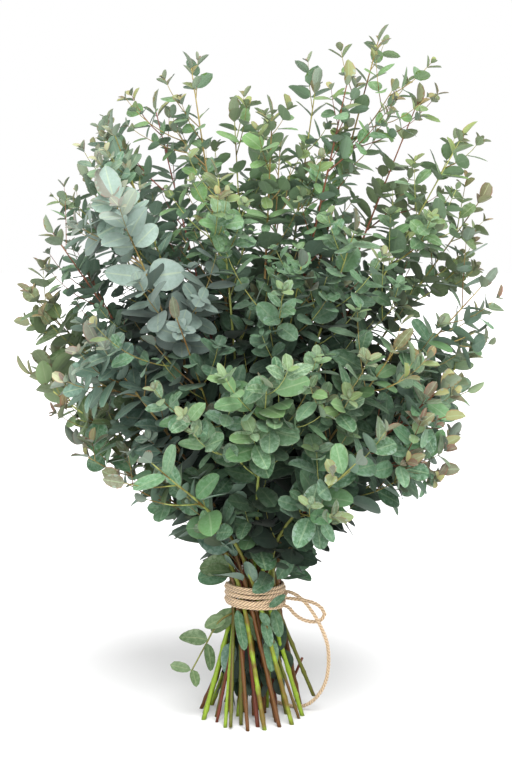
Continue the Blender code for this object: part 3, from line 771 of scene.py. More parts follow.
neckPlan = {
    "leaves": 150,
    "height": (0.13, 0.24),
    "reach": (0.55, 1),
    "rise": (-5, 75),
    "aside": 0.5,
    "faces": (1, 1, -1),
    "roll": 0.6,
    "length": (0.62, 0.92),
    "width": (0.6, 0.84),
    "testSize": 0.5,
}
lowPlan = {
    "leaves": 240,
    "height": (0.035, 0.1),
    "frontLow": 0.082,
    "frontLine": -0.012,
    "frontRound": 0.03,
    "inwards": 0.7,
    "fall": (50, 80),
    "length": (0.5, 0.8),
    "testSize": 0.45,
}
# The pale stem: where its big leaves begin on it, and the space in front of it that other leaves stay out of
palePlan = {
    "stem": "stem_20",
    "bigFrom": 0.72,
    "parts": 24,
    "clearFrom": 16,
    "across": 0.034,
    "upDown": 0.02,
    "inFront": 0.002,
    "width": 0.78,
    "faceAside": 0.1,
    "faceUp": (0.4, 1.4),
    "narrow": 0.5,
    "testSize": 0.8,
}
# Leaves that show beside the tie, in millimetres: root, tip, the way their face turns, width against length
tieLeaves = (
    ((18, -26, 137), (-3, -31, 127), (0.1, -1, 0.35), 0.62),
    ((20, -25, 135), (37, -30, 160), (-0.3, -1, 0.3), 0.5),
    ((24, -22, 135), (49, -26, 139), (0.1, -0.3, 0.95), 0.3),
    ((-22, -14, 147), (-52, -18, 143), (0.05, -1, 0.4), 0.66),
    ((24, -8, 147), (57, -14, 157), (-0.1, -1, 0.3), 0.62),
    ((-24, -16, 162), (-55, -22, 172), (0.1, -1, 0.4), 0.66),
    ((12, -29.5, 110), (29, -31.5, 121), (-0.4, -1, 0.4), 0.42),
    ((-17, -23, 106), (-11, -29, 70), (0.7, -1, -0.1), 0.36),
    ((-24, -14, 106), (-40, -20, 80), (0.5, -1, 0.3), 0.56),
    ((-6, -20, 104), (0, -27, 74), (-0.8, -1, 0.1), 0.4),
    ((20, -16, 106), (25, -23, 82), (-0.6, -1, 0.1), 0.5),
    ((3, -24, 104), (13, -30, 93), (0.3, -1, 0.4), 0.6),
    ((10, -14, 80), (16, -19, 48), (0.5, -1, 0.1), 0.5),
    ((-24, -8, 72), (-29, -14, 44), (0.3, -1, 0.1), 0.5),
)
# How they are fitted in: a root nearer to the middle than this moves in towards its stem, and a leaf that
# another stem runs through shifts back or forward by so many millimetres
tieFit = {
    "bundle": 0.0315,
    "inwards": 0.4,
    "shifts": (0, -3, 3, -6, 6, -9, 9, -12, 12, 15),
    "testSize": 0.5,
}
# The big pale leaves: share of the stem's length, way to the tip in millimetres, width against length
paleLeaves = (
    (0.985, (-9, -4, 31), 0.64), (0.985, (-20, -5, -3), 0.85), (0.985, (21, -3, 9), 0.85),
    (0.93, (-23, -9, -7), 1.0), (0.93, (19, 3, 23), 0.42), (0.93, (9, 7, 9), 0.9),
    (0.87, (-20, 4, -1), 0.8), (0.87, (19, 6, 20), 0.66),
    (0.79, (-38, -5, 5), 0.52), (0.79, (32, -7, 8), 0.88),
)
# How far the foliage reaches to the left and to the right of the middle at each height, in metres
outline = {
    "height": (0.13, 0.179, 0.234, 0.29, 0.354, 0.39, 0.474, 0.52, 0.566, 0.61, 0.645),
    "left": (0.05, 0.085, 0.125, 0.188, 0.222, 0.23, 0.2, 0.176, 0.15, 0.1, 0.05),
    "right": (0.05, 0.14, 0.175, 0.2, 0.217, 0.224, 0.225, 0.218, 0.208, 0.16, 0.13),
    "depth": 0.84,
    "over": 0.004,
}


def outwardness(place):
    # 0 in the middle of the bunch and 1 at the edge of its foliage
    side = outline["left"] if place.x < 0 else outline["right"]
    reach = float(np.interp(place.z, outline["height"], side)) + outline["over"]
    across = math.hypot(place.x, place.y / outline["depth"]) / reach
    return max(across, place.z / (cadBox[1][2] + 0.004))


def hidesPaleStem(stem, place):
    # The big pale leaves of one front stem stay in sight
    if stem is paleStem:
        return False
    for spot in paleLine:
        beside = abs(place.x - spot.x) < palePlan["across"] and abs(place.z - spot.z) < palePlan["upDown"]
        if beside and spot.y - place.y > palePlan["inFront"]:
            return True
    return False


def addLeaf(stem, root, along, face, length, kind, youth=0.0, part=morePlan["testSize"]):
    if kind not in ("low", "known") and outwardness(root + along * length) > 1:
        return False
    if hidesPaleStem(stem, root + along * length * morePlan["seenAt"]):
        return False
    solid = treeOf(*coarseLeaf(root, along, face, length * part, thickness=morePlan["testThickness"]))
    if solid["low"][2] < leafPlan["floorRoom"] or touches(solid, stem["name"]):
        return False
    addToCrowd(solid)
    keepLeaf(stem, root, along, face, length, kind, youth)
    return True


def edgeShare(root):
    # Where the growth is young: at the bunch's edge, and there mostly at its sides and its top
    edge = morePlan["edge"]
    atEdge = min(1, max(0, (outwardness(root) - edge["from"]) / edge["span"]))
    atTop = max(0, root.z - edge["topFrom"]) / edge["topSpan"]
    return atEdge * min(1, edge["middle"] + (root.x / edge["side"]) ** 2 + atTop)


def addPair(stem, branch, share, angle, size, draw, part=morePlan["testSize"]):
    # An opposite pair on the drawn line of a branch
    if stem is paleStem and branch["kind"] == "main" and share > palePlan["bigFrom"]:
        return
    root, axis = pointOn(branch["drawn"], share)
    radius = pointOn(branch["line"], share, branch["radii"])[2]
    youth = youthAt(branch, share) * edgeShare(root)
    for turn in (angle, angle + math.pi):
        lean = math.radians(draw.uniform(*leafPlan["angle"])) * (1 - morePlan["steeperYoung"] * youth)
        length = size * (1 - leafPlan["taper"] * share ** 3) * draw.uniform(*morePlan["sizes"])
        for trial in range(morePlan["trials"]):
            out, along, face = leafWays(axis, turn, lean, draw, trial, morePlan["looseness"])
            start = root + out * max(0, radius - morePlan["rootDepth"])
            long = length * (1 - morePlan["shorter"] * trial)
            if addLeaf(stem, start, along, face, long, branch["kind"], youth, part):
                break


def addTip(stem, branch, draw, angle):
    # The small folded leaves that close the end of a shoot
    for share, part in morePlan["tips"]:
        size = branch["size"] * part / (1 - leafPlan["taper"] * share ** 3)
        addPair(stem, branch, share, angle, size, draw)
        angle += math.pi / 2


def addSprays(stem, branch, count, size, draw):
    # Fine side twigs between the main ones, each with its own pairs
    for i in range(count):
        part = ((i + draw.random()) / count) ** sprayPlan["towardsFoot"]
        share = branch["first"] + (sprayPlan["last"] - branch["first"]) * part
        root, axis = pointOn(branch["drawn"], share)
        for trial in range(sprayPlan["tries"]):
            out = around(axis, draw.uniform(0, math.tau))
            if out.dot(Vector((root.x, root.y, 0))) < 0 and draw.random() < sprayPlan["turnedOut"]:
                out = -out
            # Longer at the front and the back, shorter low down and near a stem's tip
            length = draw.uniform(*sprayPlan["length"])
            length = length * (sprayPlan["atFoot"] - sprayPlan["shorterUp"] * share)
            if abs(root.y) > abs(root.x):
                length *= sprayPlan["longerInDepth"]
            if root.z < sprayPlan["low"]:
                length *= sprayPlan["shorterLow"]
            reach = length * (1 - sprayPlan["shorter"] * trial)
            line = twigLine(root, axis, out, reach, draw.uniform(*sprayPlan["lift"]), 6)
            solid = treeOf(*tubeOf(line, [sprayPlan["radius"]] * len(line), 4))
            hides = any(hidesPaleStem(stem, spot) for spot in line[2:])
            if outwardness(line[-1]) < sprayPlan["edge"] and not hides and not touches(solid, stem["name"]):
                break
        else:
            continue
        addToCrowd(solid, stem["name"])
        radii = thinned(sprayPlan["radius"], len(line), sprayPlan["tipRadius"])
        spray = {"line": line, "radii": radii, "drawn": line, "kind": "spray", "size": size}
        stem["branches"].append(spray)
        angle = draw.uniform(0, math.tau)
        step = sprayPlan["pairs"] * draw.uniform(*sprayPlan["pairsVary"]) / length
        share = sprayPlan["firstPair"]
        while share < leafPlan["lastPair"]:
            addPair(stem, spray, share, angle, size, draw)
            angle += math.pi / 2
            share += step
        addTip(stem, spray, draw, angle)


def addNeckLeaves(draw):
    # Broad leaves that fill the neck of the bunch, just over the tie
    for _ in range(neckPlan["leaves"]):
        height = draw.uniform(*neckPlan["height"])
        bearing = draw.uniform(0, math.tau)
        edge = levelWay(bearing) * bundleRadius(height) * draw.uniform(*neckPlan["reach"])
        edge.z = height
        stem = nearestStem(edge, height)
        centre, axis, radius = atHeight(stem, height)
        aside = around(axis, draw.uniform(0, math.tau)) * neckPlan["aside"]
        out = squareTo(axis, levelWay(bearing) + aside)
        rise = math.radians(draw.uniform(*neckPlan["rise"]))
        along = out * math.cos(rise) + up * math.sin(rise)
        face = (up * math.cos(rise) - out * math.sin(rise)) * draw.choice(neckPlan["faces"])
        roll = draw.uniform(-neckPlan["roll"], neckPlan["roll"])
        face = (face.normalized() + along.cross(face).normalized() * roll).normalized()
        root = centre + out * (radius - morePlan["rootDepth"])
        length = leafPlan["length"] * draw.uniform(*neckPlan["length"])
        if addLeaf(stem, root, along.normalized(), face, length, "neck", part=neckPlan["testSize"]):
            stem["leavesPlaced"][-1]["width"] = draw.uniform(*neckPlan["width"])


def addLowLeaves(draw):
    # Leaves left on the cut stems under the tie, which hang between them
    for _ in range(lowPlan["leaves"]):
        height = draw.uniform(*lowPlan["height"])
        stem = draw.choice(stems)
        centre, axis, radius = atHeight(stem, height)
        atFront = centre.y < lowPlan["frontLine"] or centre.xy.length > lowPlan["frontRound"]
        if atFront and height < lowPlan["frontLow"]:
            continue
        inward = Vector((-centre.x, -centre.y, 0)).normalized()
        out = (around(axis, draw.uniform(0, math.tau)) + inward * lowPlan["inwards"]).normalized()
        fall = math.radians(draw.uniform(*lowPlan["fall"]))
        along = (out * math.cos(fall) - up * math.sin(fall)).normalized()
        face = (up * math.cos(fall) + out * math.sin(fall)).normalized()
        length = leafPlan["length"] * draw.uniform(*lowPlan["length"])
        root = centre + out * (radius - morePlan["rootDepth"])
        addLeaf(stem, root, along, face, length, "low", part=lowPlan["testSize"])


def addKnownLeaves():
    # The leaves placed from the photo that didn't fit in the solids
    placed = [leaf["root"].copy() for stem in stems for leaf in stem["leavesPlaced"]]
    for stem in stems:
        for root, along, face, length in stem["known"]:
            if all((root - other).length > 1e-6 for other in placed):
                addLeaf(stem, root, along, face, length, "known", part=tieFit["testSize"])


def addTieLeaves():
    for root, tip, face, width in tieLeaves:
        root, tip, face = Vector(root) / 1000, Vector(tip) / 1000, Vector(face)
        stem = nearestStem(root)
        if root.xy.length <= tieFit["bundle"]:
            root = atHeight(stem, root.z)[0].lerp(root, tieFit["inwards"])
        for shift in tieFit["shifts"]:
            # Further back or forward, until no other stem runs through it
            way = tip + Vector((0, shift / 1000, 0)) - root
            along = way / way.length
            turnedFace = squareTo(along, face)
            solid = treeOf(*coarseLeaf(root, along, turnedFace, way.length))
            if not touches(solid, stem["name"]):
                break
        keepLeaf(stem, root, along, turnedFace, way.length, "known", width=width)
        addToCrowd(solid)


def addPaleLeaves():
    for share, way, width in paleLeaves:
        root, way = pointOn(paleMain, share)[0], Vector(way) / 1000
        along = way.normalized()
        rise = palePlan["faceUp"][0 if width > palePlan["narrow"] else 1]
        face = squareTo(along, Vector((palePlan["faceAside"] * width, -1, rise)))
        keepLeaf(paleStem, root, along, face, way.length, "pale", width=width)
        addToCrowd(treeOf(*coarseLeaf(root, along, face, way.length * palePlan["testSize"])))


def fillBranches(stem, draw):
    # Two pairs between each two that the solids have, and the tips
    for branch in stem["branches"]:
        size, step = branch["size"] * morePlan["size"], branch["step"]
        known = branch["pairs"][:]
        angle = known[0][1] if known else 0
        start = known[0][0] if known else branch["first"]
        wanted = [(start - step * k / 3, angle - math.pi / 2 * k) for k in (1, 2)]
        for share, angle in known:
            wanted += [(share + step * k / 3, angle + math.pi / 2 * k) for k in (1, 2)]
        for share, angle in wanted:
            if branch["first"] < share < morePlan["lastPair"]:
                branch["pairs"].append((share, angle))
                addPair(stem, branch, share, angle, size, draw)
        addTip(stem, branch, draw, angle + math.pi / 2)


def addInnerLeaves(stem, draw):
    # Old leaves deep in the bunch, which nobody sees one by one
    main = stem["branches"][0]
    count = int(lineLength(main["line"]) / morePlan["innerSpacing"])
    for i in range(count):
        share = main["first"] + (1 - main["first"]) * (i + 0.5) / count
        if outwardness(pointOn(main["drawn"], share)[0]) < morePlan["innerEdge"]:
            size = main["size"] * draw.uniform(*morePlan["innerSizes"])
            addPair(stem, main, share, draw.uniform(0, math.tau), size, draw, morePlan["innerPart"])


def addAllSprays(stem, draw):
    sizes, tip = sprayPlan["leafSizes"], stem["tip"]
    size = sizes["lowStems"] if tip.z < sprayPlan["highFrom"] else sizes["highStems"]
    size = leafPlan["length"] * stem["leafSize"] * size
    count = sprayPlan["onPaleStem"] if stem is paleStem else sprayPlan["count"]
    if tip.x < 0 and tip.z > sprayPlan["upperLeft"]:
        count += sprayPlan["moreAtUpperLeft"]
    main, *twigs = stem["branches"]
    addSprays(stem, main, count, size, draw)
    for branch in twigs:
        addSprays(stem, branch, sprayPlan["onTwigs"], size * sizes["onTwigs"], draw)


paleStem = next(stem for stem in stems if stem["name"] == palePlan["stem"])
paleMain = paleStem["branches"][0]["drawn"]
parts = palePlan["parts"]
paleLine = [pointOn(paleMain, i / parts)[0] for i in range(palePlan["clearFrom"], parts + 1)]
for leaf in paleStem["leavesPlaced"]:
    leaf["width"] = palePlan["width"]
addKnownLeaves()
addTieLeaves()
addPaleLeaves()
addNeckLeaves(random.Random(f"{seed} neck"))
addLowLeaves(random.Random(f"{seed} low"))
for stem in stems:
    draw = random.Random(f"{seed} more {stem['name']}")
    fillBranches(stem, draw)
    addInnerLeaves(stem, draw)
for stem in stems:
    addAllSprays(stem, random.Random(f"{seed} sprays {stem['name']}"))
print("leaves in all", sum(len(stem["leavesPlaced"]) for stem in stems))


# Meshes

def newPiece(name, parts, materials, values=(), faceValues=()):
    # One object of several parts, each a dictionary of points, faces, material number and values
    points = np.concatenate([part["points"] for part in parts])
    faces, slots, start = [], [], 0
    for part in parts:
        for face in part["faces"]:
            faces.append([start + corner for corner in face])
        slots += [part["material"]] * len(part["faces"])
        start += len(part["points"])
    mesh = bpy.data.meshes.new(name)
    mesh.from_pydata(points.tolist(), [], faces)
    for material in materials:
        mesh.materials.append(material)
    mesh.polygons.foreach_set("material_index", slots)
    mesh.polygons.foreach_set("use_smooth", [True] * len(faces))
    for names, domain, counted in ((values, "POINT", "points"), (faceValues, "FACE", "faces")):
        for each in names:
            numbers = [np.broadcast_to(part.get(each, 0.0), len(part[counted])) for part in parts]
            numbers = np.concatenate(numbers).astype(np.float32)
            mesh.attributes.new(each, "FLOAT", domain).data.foreach_set("value", numbers)
    piece = newObject(name, mesh)
    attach(piece, "root")
    return piece


def sharpen(piece, rim):
    # A crisp edge where both ends of a mesh edge are on the rim of a blade
    mesh = piece.data
    ends = np.zeros(len(mesh.edges) * 2, dtype=np.int32)
    mesh.edges.foreach_get("vertices", ends)
    ends = ends.reshape(-1, 2)
    sharp = rim[ends[:, 0]] & rim[ends[:, 1]]
    mesh.attributes.new("sharp_edge", "BOOLEAN", "EDGE").data.foreach_set("value", sharp)


# A blade's rows from its stalk to its tip and its columns from edge to edge, for the leaves over each length
leafShape = {
    "grades": (
        (0.0215, (0.03, 0.07, 0.14, 0.25, 0.4, 0.56, 0.72, 0.86, 0.95), (-1, -0.55, 0, 0.55, 1)),
        (0.0125, (0.06, 0.18, 0.38, 0.62, 0.86), (-1, -0.5, 0, 0.5, 1)),
        (0.0, (0.08, 0.3, 0.6, 0.88), (-1, 0, 1)),
    ),
    "stalk": 0.055,
    "stalkWidth": 0.0011,
    "stalkThickness": 0.0009,
    "stalkOver": 0.01,
    "thickness": 0.00046,
    "midrib": {"beside": 0.6, "over": 0.9, "width": 0.16},
    "thinnerTip": 0.5,
    "width": (0.46, 0.8),
    "narrowerYoung": 0.14,
    "fullness": ((0.4, 0.58), (0.4, 0.68)),
    "fold": (0.04, 0.2),
    "foldYoung": 0.5,
    "foldPower": 1.4,
    "tilt": 0.05,
    "wave": 0.045,
    "beats": (0.5, 1.5),
    "curve": (0.02, 0.2),
    "flatCurve": 0.01,
    "twist": 0.35,
    "bend": 0.08,
    "bloom": 0.35,
    "deep": {"outwardness": 0.45, "over": 0.2, "length": 0.02},
}
# How far out the leaves that stand by themselves count as, and how a leaf's place sets what its material
# reads: the value that a share starts from, its span, and the least share; then how much single leaves vary.
# Tone and depth paint shade: further in the bunch a leaf's tone is darker, and further in and lower down a
# near-black painted shade lies over it
leafPlaces = {
    "outwardness": {"low": 0.5, "neck": 0.97, "known": 0.78, "pale": 0.95},
    "tone": (0.3, 0.45, 0.1),
    "depth": (0.92, -0.46, 0),
    "openness": (0.52, -0.14, 0.3),
    "high": (0.36, 0.17, 0),
    "toneApart": 0.5,
    "highVary": (0.3, 1),
    "bloomVary": (0.6, 1.1),
}


def bladeFaces(rows, across):
    # The faces of one blade: for each row its upper points from edge to edge, then its lower inner points
    perRow = across * 2 - 2
    root, tip = rows * perRow, rows * perRow + 1
    topOf = [[row * perRow + i for i in range(across)] for row in range(rows)]
    lowOf = [[row[0]] + [row[-1] + i for i in range(1, across - 1)] + [row[-1]] for row in topOf]
    top, low = [], []
    for i in range(across - 1):
        top.append((root, topOf[0][i + 1], topOf[0][i]))
        low.append((root, lowOf[0][i], lowOf[0][i + 1]))
        for row in range(rows - 1):
            a, b = topOf[row], topOf[row + 1]
            top.append((a[i], a[i + 1], b[i + 1], b[i]))
            a, b = lowOf[row], lowOf[row + 1]
            low.append((a[i + 1], a[i], b[i], b[i + 1]))
        top.append((topOf[-1][i], topOf[-1][i + 1], tip))
        low.append((lowOf[-1][i + 1], lowOf[-1][i], tip))
    return top, low


def placeShare(name, value):
    start, span, least = leafPlaces[name]
    return np.clip((value - start) / span, least, 1)


def bladesOf(leaves, rows, across, paleness, draw):
    # All blades of one grade of a stem in one go
    count = len(leaves)
    rows, across = np.array(rows), np.array(across)
    root, along, face = (np.array([leaf[each] for leaf in leaves]) for each in ("root", "along", "face"))
    length, youth = (np.array([leaf[each] for leaf in leaves])[:, None, None] for each in ("length", "youth"))
    side = np.cross(along, face)
    side /= np.linalg.norm(side, axis=1, keepdims=True)
    face = np.cross(side, along)

    def spread(low, high):
        return draw.uniform(low, high, count)[:, None, None]

    width = spread(*leafShape["width"]) - leafShape["narrowerYoung"] * youth
    for i, leaf in enumerate(leaves):
        width[i] = leaf.get("width", width[i])
    first, second = (spread(*each) for each in leafShape["fullness"])
    t = np.concatenate([rows, [0, 1]])[None, :, None]
    blade = np.clip((t - leafShape["stalk"]) / (1 - leafShape["stalk"]), 0, 1)
    peak = first / (first + second)
    half = blade ** first * (1 - blade) ** second / (peak ** first * (1 - peak) ** second)
    half = half * width * length / 2
    onStalk = t < leafShape["stalk"] + leafShape["stalkOver"]
    half = np.maximum(half, leafShape["stalkWidth"] / 2 * onStalk * (t > 0))
    a = across[None, None, :]
    fold = spread(*leafShape["fold"]) + leafShape["foldYoung"] * youth
    wave = spread(-1, 1) * leafShape["wave"] * 2
    phase, beats = spread(0, math.tau), spread(*leafShape["beats"])
    curve = spread(*leafShape["curve"]) * length
    for i, leaf in enumerate(leaves):
        # The leaves beside the tie lie nearly flat
        if leaf["kind"] == "known" and "width" in leaf:
            curve[i] = leafShape["flatCurve"] * leaf["length"]
    lift = fold * half * np.abs(a) ** leafShape["foldPower"] - curve * t ** 2
    lift = lift + wave * half * np.abs(a) ** 2 * np.sin(phase + beats * math.tau * t + a)
    lift = lift + leafShape["tilt"] * half * spread(-1, 1) * a
    twist = spread(-1, 1) * leafShape["twist"] * t
    sway = spread(-1, 1) * leafShape["bend"] * length * t ** 2
    x = a * half
    # Thickest at the midrib and on the stalk, and nothing at the rim
    midrib = leafShape["midrib"]
    thick = midrib["beside"] + midrib["over"] * np.exp(-(a / midrib["width"]) ** 2)
    thick = leafShape["thickness"] * (1 - a ** 2) * thick * np.ones_like(t)
    stalkThick = leafShape["stalkThickness"] * (1 - a ** 2) ** 0.5
    thick = np.where(onStalk, stalkThick, thick * (1 - leafShape["thinnerTip"] * t)) / 2
    thick = np.where((t <= 0) | (t >= 1), 0, thick)

    def placed(lift):
        out = x * np.cos(twist) - lift * np.sin(twist) + sway
        rise = x * np.sin(twist) + lift * np.cos(twist)
        place = root[:, None, None, :] + along[:, None, None, :] * (t * length)[..., None]
        return place + side[:, None, None, :] * out[..., None] + face[:, None, None, :] * rise[..., None]

    top, low = placed(lift + thick), placed(lift - thick)
    middle, rowCount = len(across) // 2, len(rows)
    body = np.concatenate([top[:, :rowCount], low[:, :rowCount, 1:-1]], axis=2).reshape(count, -1, 3)
    points = np.concatenate([body, top[:, rowCount:, middle]], axis=1)
    perRow = np.concatenate([across, across[1:-1]])
    rim = np.tile(np.abs(perRow) == 1, rowCount)
    perLeaf = points.shape[1]
    topFaces, lowFaces = bladeFaces(rowCount, len(across))
    faces = []
    for i in range(count):
        faces += [tuple(corner + i * perLeaf for corner in each) for each in topFaces + lowFaces]
    # What the leaf's material reads: shares of a blade for its points, and numbers for each whole leaf
    known = leafPlaces["outwardness"]
    apart = np.array([leaf["kind"] in known for leaf in leaves])
    middles = [leaf["root"] + leaf["along"] * leaf["length"] * 0.5 for leaf in leaves]
    outer = np.array([known.get(leaf["kind"], outwardness(spot)) for leaf, spot in zip(leaves, middles)])
    # Each leaf's tone varies at random, and reaches less far further in the bunch: painted shade
    toned = np.where(apart, leafPlaces["toneApart"], placeShare("tone", outer))
    wholeLeaf = {
        "leafToneAndShade": draw.uniform(0, 1, count) * toned,
        # Painted shade: strongest deep in the bunch and low down, less towards the top
        "leafPaintedShade": placeShare("depth", outer) * placeShare("openness", root[:, 2]),
        "leafHigh": placeShare("high", root[:, 2]) * draw.uniform(*leafPlaces["highVary"], count),
        "leafBloom": np.clip(paleness * draw.uniform(*leafPlaces["bloomVary"], count), 0, 1),
        "leafYouth": youth.ravel(),
    }
    return {
        "points": points.reshape(-1, 3), "faces": faces, "material": 0,
        "leafAcross": np.tile(np.concatenate([np.tile(perRow, rowCount), [0, 0]]), count),
        "leafAlong": np.tile(np.concatenate([np.repeat(rows, len(perRow)), [0, 1]]), count),
        "leafUnder": np.tile([0.0] * len(topFaces) + [1.0] * len(lowFaces), count),
        "rim": np.tile(np.concatenate([rim, [True, True]]), count),
        **{name: np.repeat(numbers, perLeaf) for name, numbers in wholeLeaf.items()},
    }


# Wood: the rings of a drawn line, thicker at its leaf nodes, with an age from the foot to the tip
woodShape = {
    "swell": 0.28,
    "swellLength": 0.0022,
    "budEvery": 0.028,
    "firstBud": (0.3, 1),
    "budsVary": (0.8, 1.25),
    "thinner": 0.4,
    "forkRadius": 0.0015,
    # The sides of a ring, the ages and the step from ring to ring
    "main": (8, (0, 1), 0.006),
    "twig": (5, (0.62, 1), 0.006),
    "spray": (4, (0.75, 1), 0.012),
    "side": (6, (0.3, 0.6), 0.006),
}


def woodPart(kind, line, radii, radiusLine, nodes, tone, flatFoot=None):
    sides, age, step = woodShape[kind]
    length = lineLength(line)
    count = max(4, round(length / step))
    shares = sorted({i / count for i in range(count + 1)} | {min(1, max(0, node)) for node in nodes})
    places, thick = [], []
    for share in shares:
        places.append(pointOn(line, share)[0])
        swell = sum(math.exp(-((share - node) * length / woodShape["swellLength"]) ** 2) for node in nodes)
        ease = 1 - woodShape["thinner"] * (age[0] + (age[1] - age[0]) * share) ** 2
        thick.append(pointOn(radiusLine, share, radii)[2] * ease * (1 + woodShape["swell"] * min(1, swell)))
    points, faces = tubeOf(places, thick, sides)
    if flatFoot is not None:
        way = (places[1] - places[0]).normalized()
        for i in range(sides):
            points[i] = points[i] + way * ((flatFoot - points[i].z) / way.z)
    ages = np.repeat([age[0] + (age[1] - age[0]) * share for share in shares], sides)
    sunny = [0.5 + 0.5 * math.cos(math.tau * (i / sides + tone)) for i in range(sides)]
    return {
        "points": np.array([list(point) for point in points]), "faces": faces, "material": 1,
        "woodAge": ages, "woodAround": np.tile(sunny, len(shares))}


def woodOf(stem, draw):
    main = stem["branches"][0]
    bottom, low = stem["line"][:2]
    way = (low - bottom).normalized()
    foot = bottom + way * ((stem["lift"] - bottom.z) / way.z)
    whole = [foot] + [foot.lerp(low, i / 4) for i in range(1, 4)] + [low] + main["drawn"]
    length, lowLength = lineLength(whole), lineLength([foot, low, main["drawn"][0]])
    nodes = [(lowLength + share * (length - lowLength)) / length for share, _ in main["pairs"]]
    spot = draw.uniform(*woodShape["firstBud"]) * woodShape["budEvery"]
    while spot < lowLength:
        nodes.append(spot / length)
        spot += woodShape["budEvery"] * draw.uniform(*woodShape["budsVary"])
    tone = draw.random()
    parts = [woodPart("main", whole, stem["radii"], stem["line"], nodes, tone, stem["lift"])]
    for branch in stem["branches"][1:]:
        nodes = [share for share, _ in branch.get("pairs", ())]
        parts.append(woodPart(branch["kind"], branch["drawn"], branch["radii"], branch["line"], nodes, tone))
    for key, radii in (("hanging", hangingRadii), ("fork", [woodShape["forkRadius"]] * 2)):
        if key in stem:
            parts.append(woodPart("side", rounded(stem[key], 5), radii, stem[key], [], tone))
    return parts


# Materials

def linear(code):
    # An sRGB hex colour as the linear one that the shader takes
    parts = [int(code[i:i + 2], 16) / 255 for i in (1, 3, 5)]
    return [part / 12.92 if part <= 0.04045 else ((part + 0.055) / 1.055) ** 2.4 for part in parts] + [1]


def addNode(tree, kind, output, inputs=None, **settings):
    # A node with its settings, and numbers, colours or links on its inputs
    node = tree.nodes.new(kind)
    for name, setting in settings.items():
        setattr(node, name, setting)
    for name, entry in (inputs or {}).items():
        if isinstance(entry, bpy.types.NodeSocket):
            tree.links.new(entry, node.inputs[name])
        else:
            node.inputs[name].default_value = entry
    return node.outputs[output]


def workedOut(tree, sources, operation, *terms):
    # A number from named ones: RANGE brings one from a range to another, and the rest is plain arithmetic
    terms = [sources[term] if isinstance(term, str) else term for term in terms]
    if operation == "RANGE":
        inputs = dict(zip(("Value", "From Min", "From Max", "To Min", "To Max"), terms))
        return addNode(tree, "ShaderNodeMapRange", 0, inputs)
    return addNode(tree, "ShaderNodeMath", 0, dict(enumerate(terms)), operation=operation)


def newMaterial(name, look, plan):
    # A material from its plan: the values that its mesh carries, its patterns with their size in millimetres,
    # detail and roughness, what is worked out from these, its layers of colour, its roughness and its relief
    material = bpy.data.materials.new(name)
    material.use_nodes = True
    tree = material.node_tree
    shader = tree.nodes["Principled BSDF"]
    sources = {}
    for each in plan["values"]:
        sources[each] = addNode(tree, "ShaderNodeAttribute", "Fac", attribute_name=each)
    where = addNode(tree, "ShaderNodeTexCoord", "Object")
    for pattern, (size, detail, roughness) in plan["patterns"].items():
        vector = where
        if pattern in plan.get("lengthwise", ()):
            scale = (1.0, 1.0, plan["lengthwise"][pattern])
            vector = addNode(tree, "ShaderNodeMapping", 0, {"Vector": where, "Scale": scale})
        inputs = {"Vector": vector, "Scale": 1000 / size, "Detail": detail, "Roughness": roughness}
        sources[pattern] = addNode(tree, "ShaderNodeTexNoise", "Fac", inputs)
    for each, *formula in plan["sums"]:
        sources[each] = workedOut(tree, sources, *formula)
    # Each colour lies over the ones before it, and shows by the product of its ranges
    colour = linear(look[plan["base"]])
    for each, factors in plan["layers"]:
        share = workedOut(tree, sources, "RANGE", *factors[0])
        for factor in factors[1:]:
            share = workedOut(tree, sources, "MULTIPLY", share, workedOut(tree, sources, "RANGE", *factor))
        inputs = {0: share, 6: colour, 7: linear(look[each])}
        colour = addNode(tree, "ShaderNodeMix", 2, inputs, data_type="RGBA")
    tree.links.new(colour, shader.inputs["Base Color"])
    tree.links.new(workedOut(tree, sources, "RANGE", *plan["roughness"]), shader.inputs["Roughness"])
    if "relief" in plan:
        height, strength, distance = plan["relief"]
        inputs = {"Strength": strength, "Distance": distance, "Height": sources[height]}
        tree.links.new(addNode(tree, "ShaderNodeBump", 0, inputs), shader.inputs["Normal"])
    for each, value in plan["shader"].items():
        shader.inputs[each].default_value = value
    return material


# The near-black colour of each look is painted shade for the leaves deep in the bunch
leafLooks = {
    "grey": {
        "dark": "#315435", "light": "#5f8962", "bloom": "#91a897", "under": "#80958a", "vein": "#869b78",
        "fresher": "#52783a", "high": "#5c7d33", "paintedShade": "#0c1a15", "young": "#66443a", "newest": "#8f915e",
        "margin": "#8a4e3c"},
    "fresh": {
        "dark": "#325435", "light": "#5d845c", "bloom": "#90a592", "under": "#82977f", "vein": "#8ba078",
        "fresher": "#567c3c", "high": "#66853c", "paintedShade": "#0e1b12", "young": "#74603f", "newest": "#7f8f52",
        "margin": "#8a5638"},
    "blue": {
        "dark": "#3e5d4b", "light": "#6a8c78", "bloom": "#8c9d96", "under": "#8aa193", "vein": "#a3b08f",
        "fresher": "#5d8262", "high": "#668458", "paintedShade": "#101f19", "young": "#745a54", "newest": "#9a9f7c",
        "margin": "#8f6658"},
    "dusky": {
        "dark": "#3c552e", "light": "#66804f", "bloom": "#8c9d80", "under": "#829273", "vein": "#919a72",
        "fresher": "#5c783c", "high": "#647a44", "paintedShade": "#101a12", "young": "#5f3c38", "newest": "#86744e",
        "margin": "#7c3c32"},
}
leafValues = ("leafAcross", "leafAlong", "leafToneAndShade", "leafYouth", "leafPaintedShade", "leafHigh", "leafBloom")
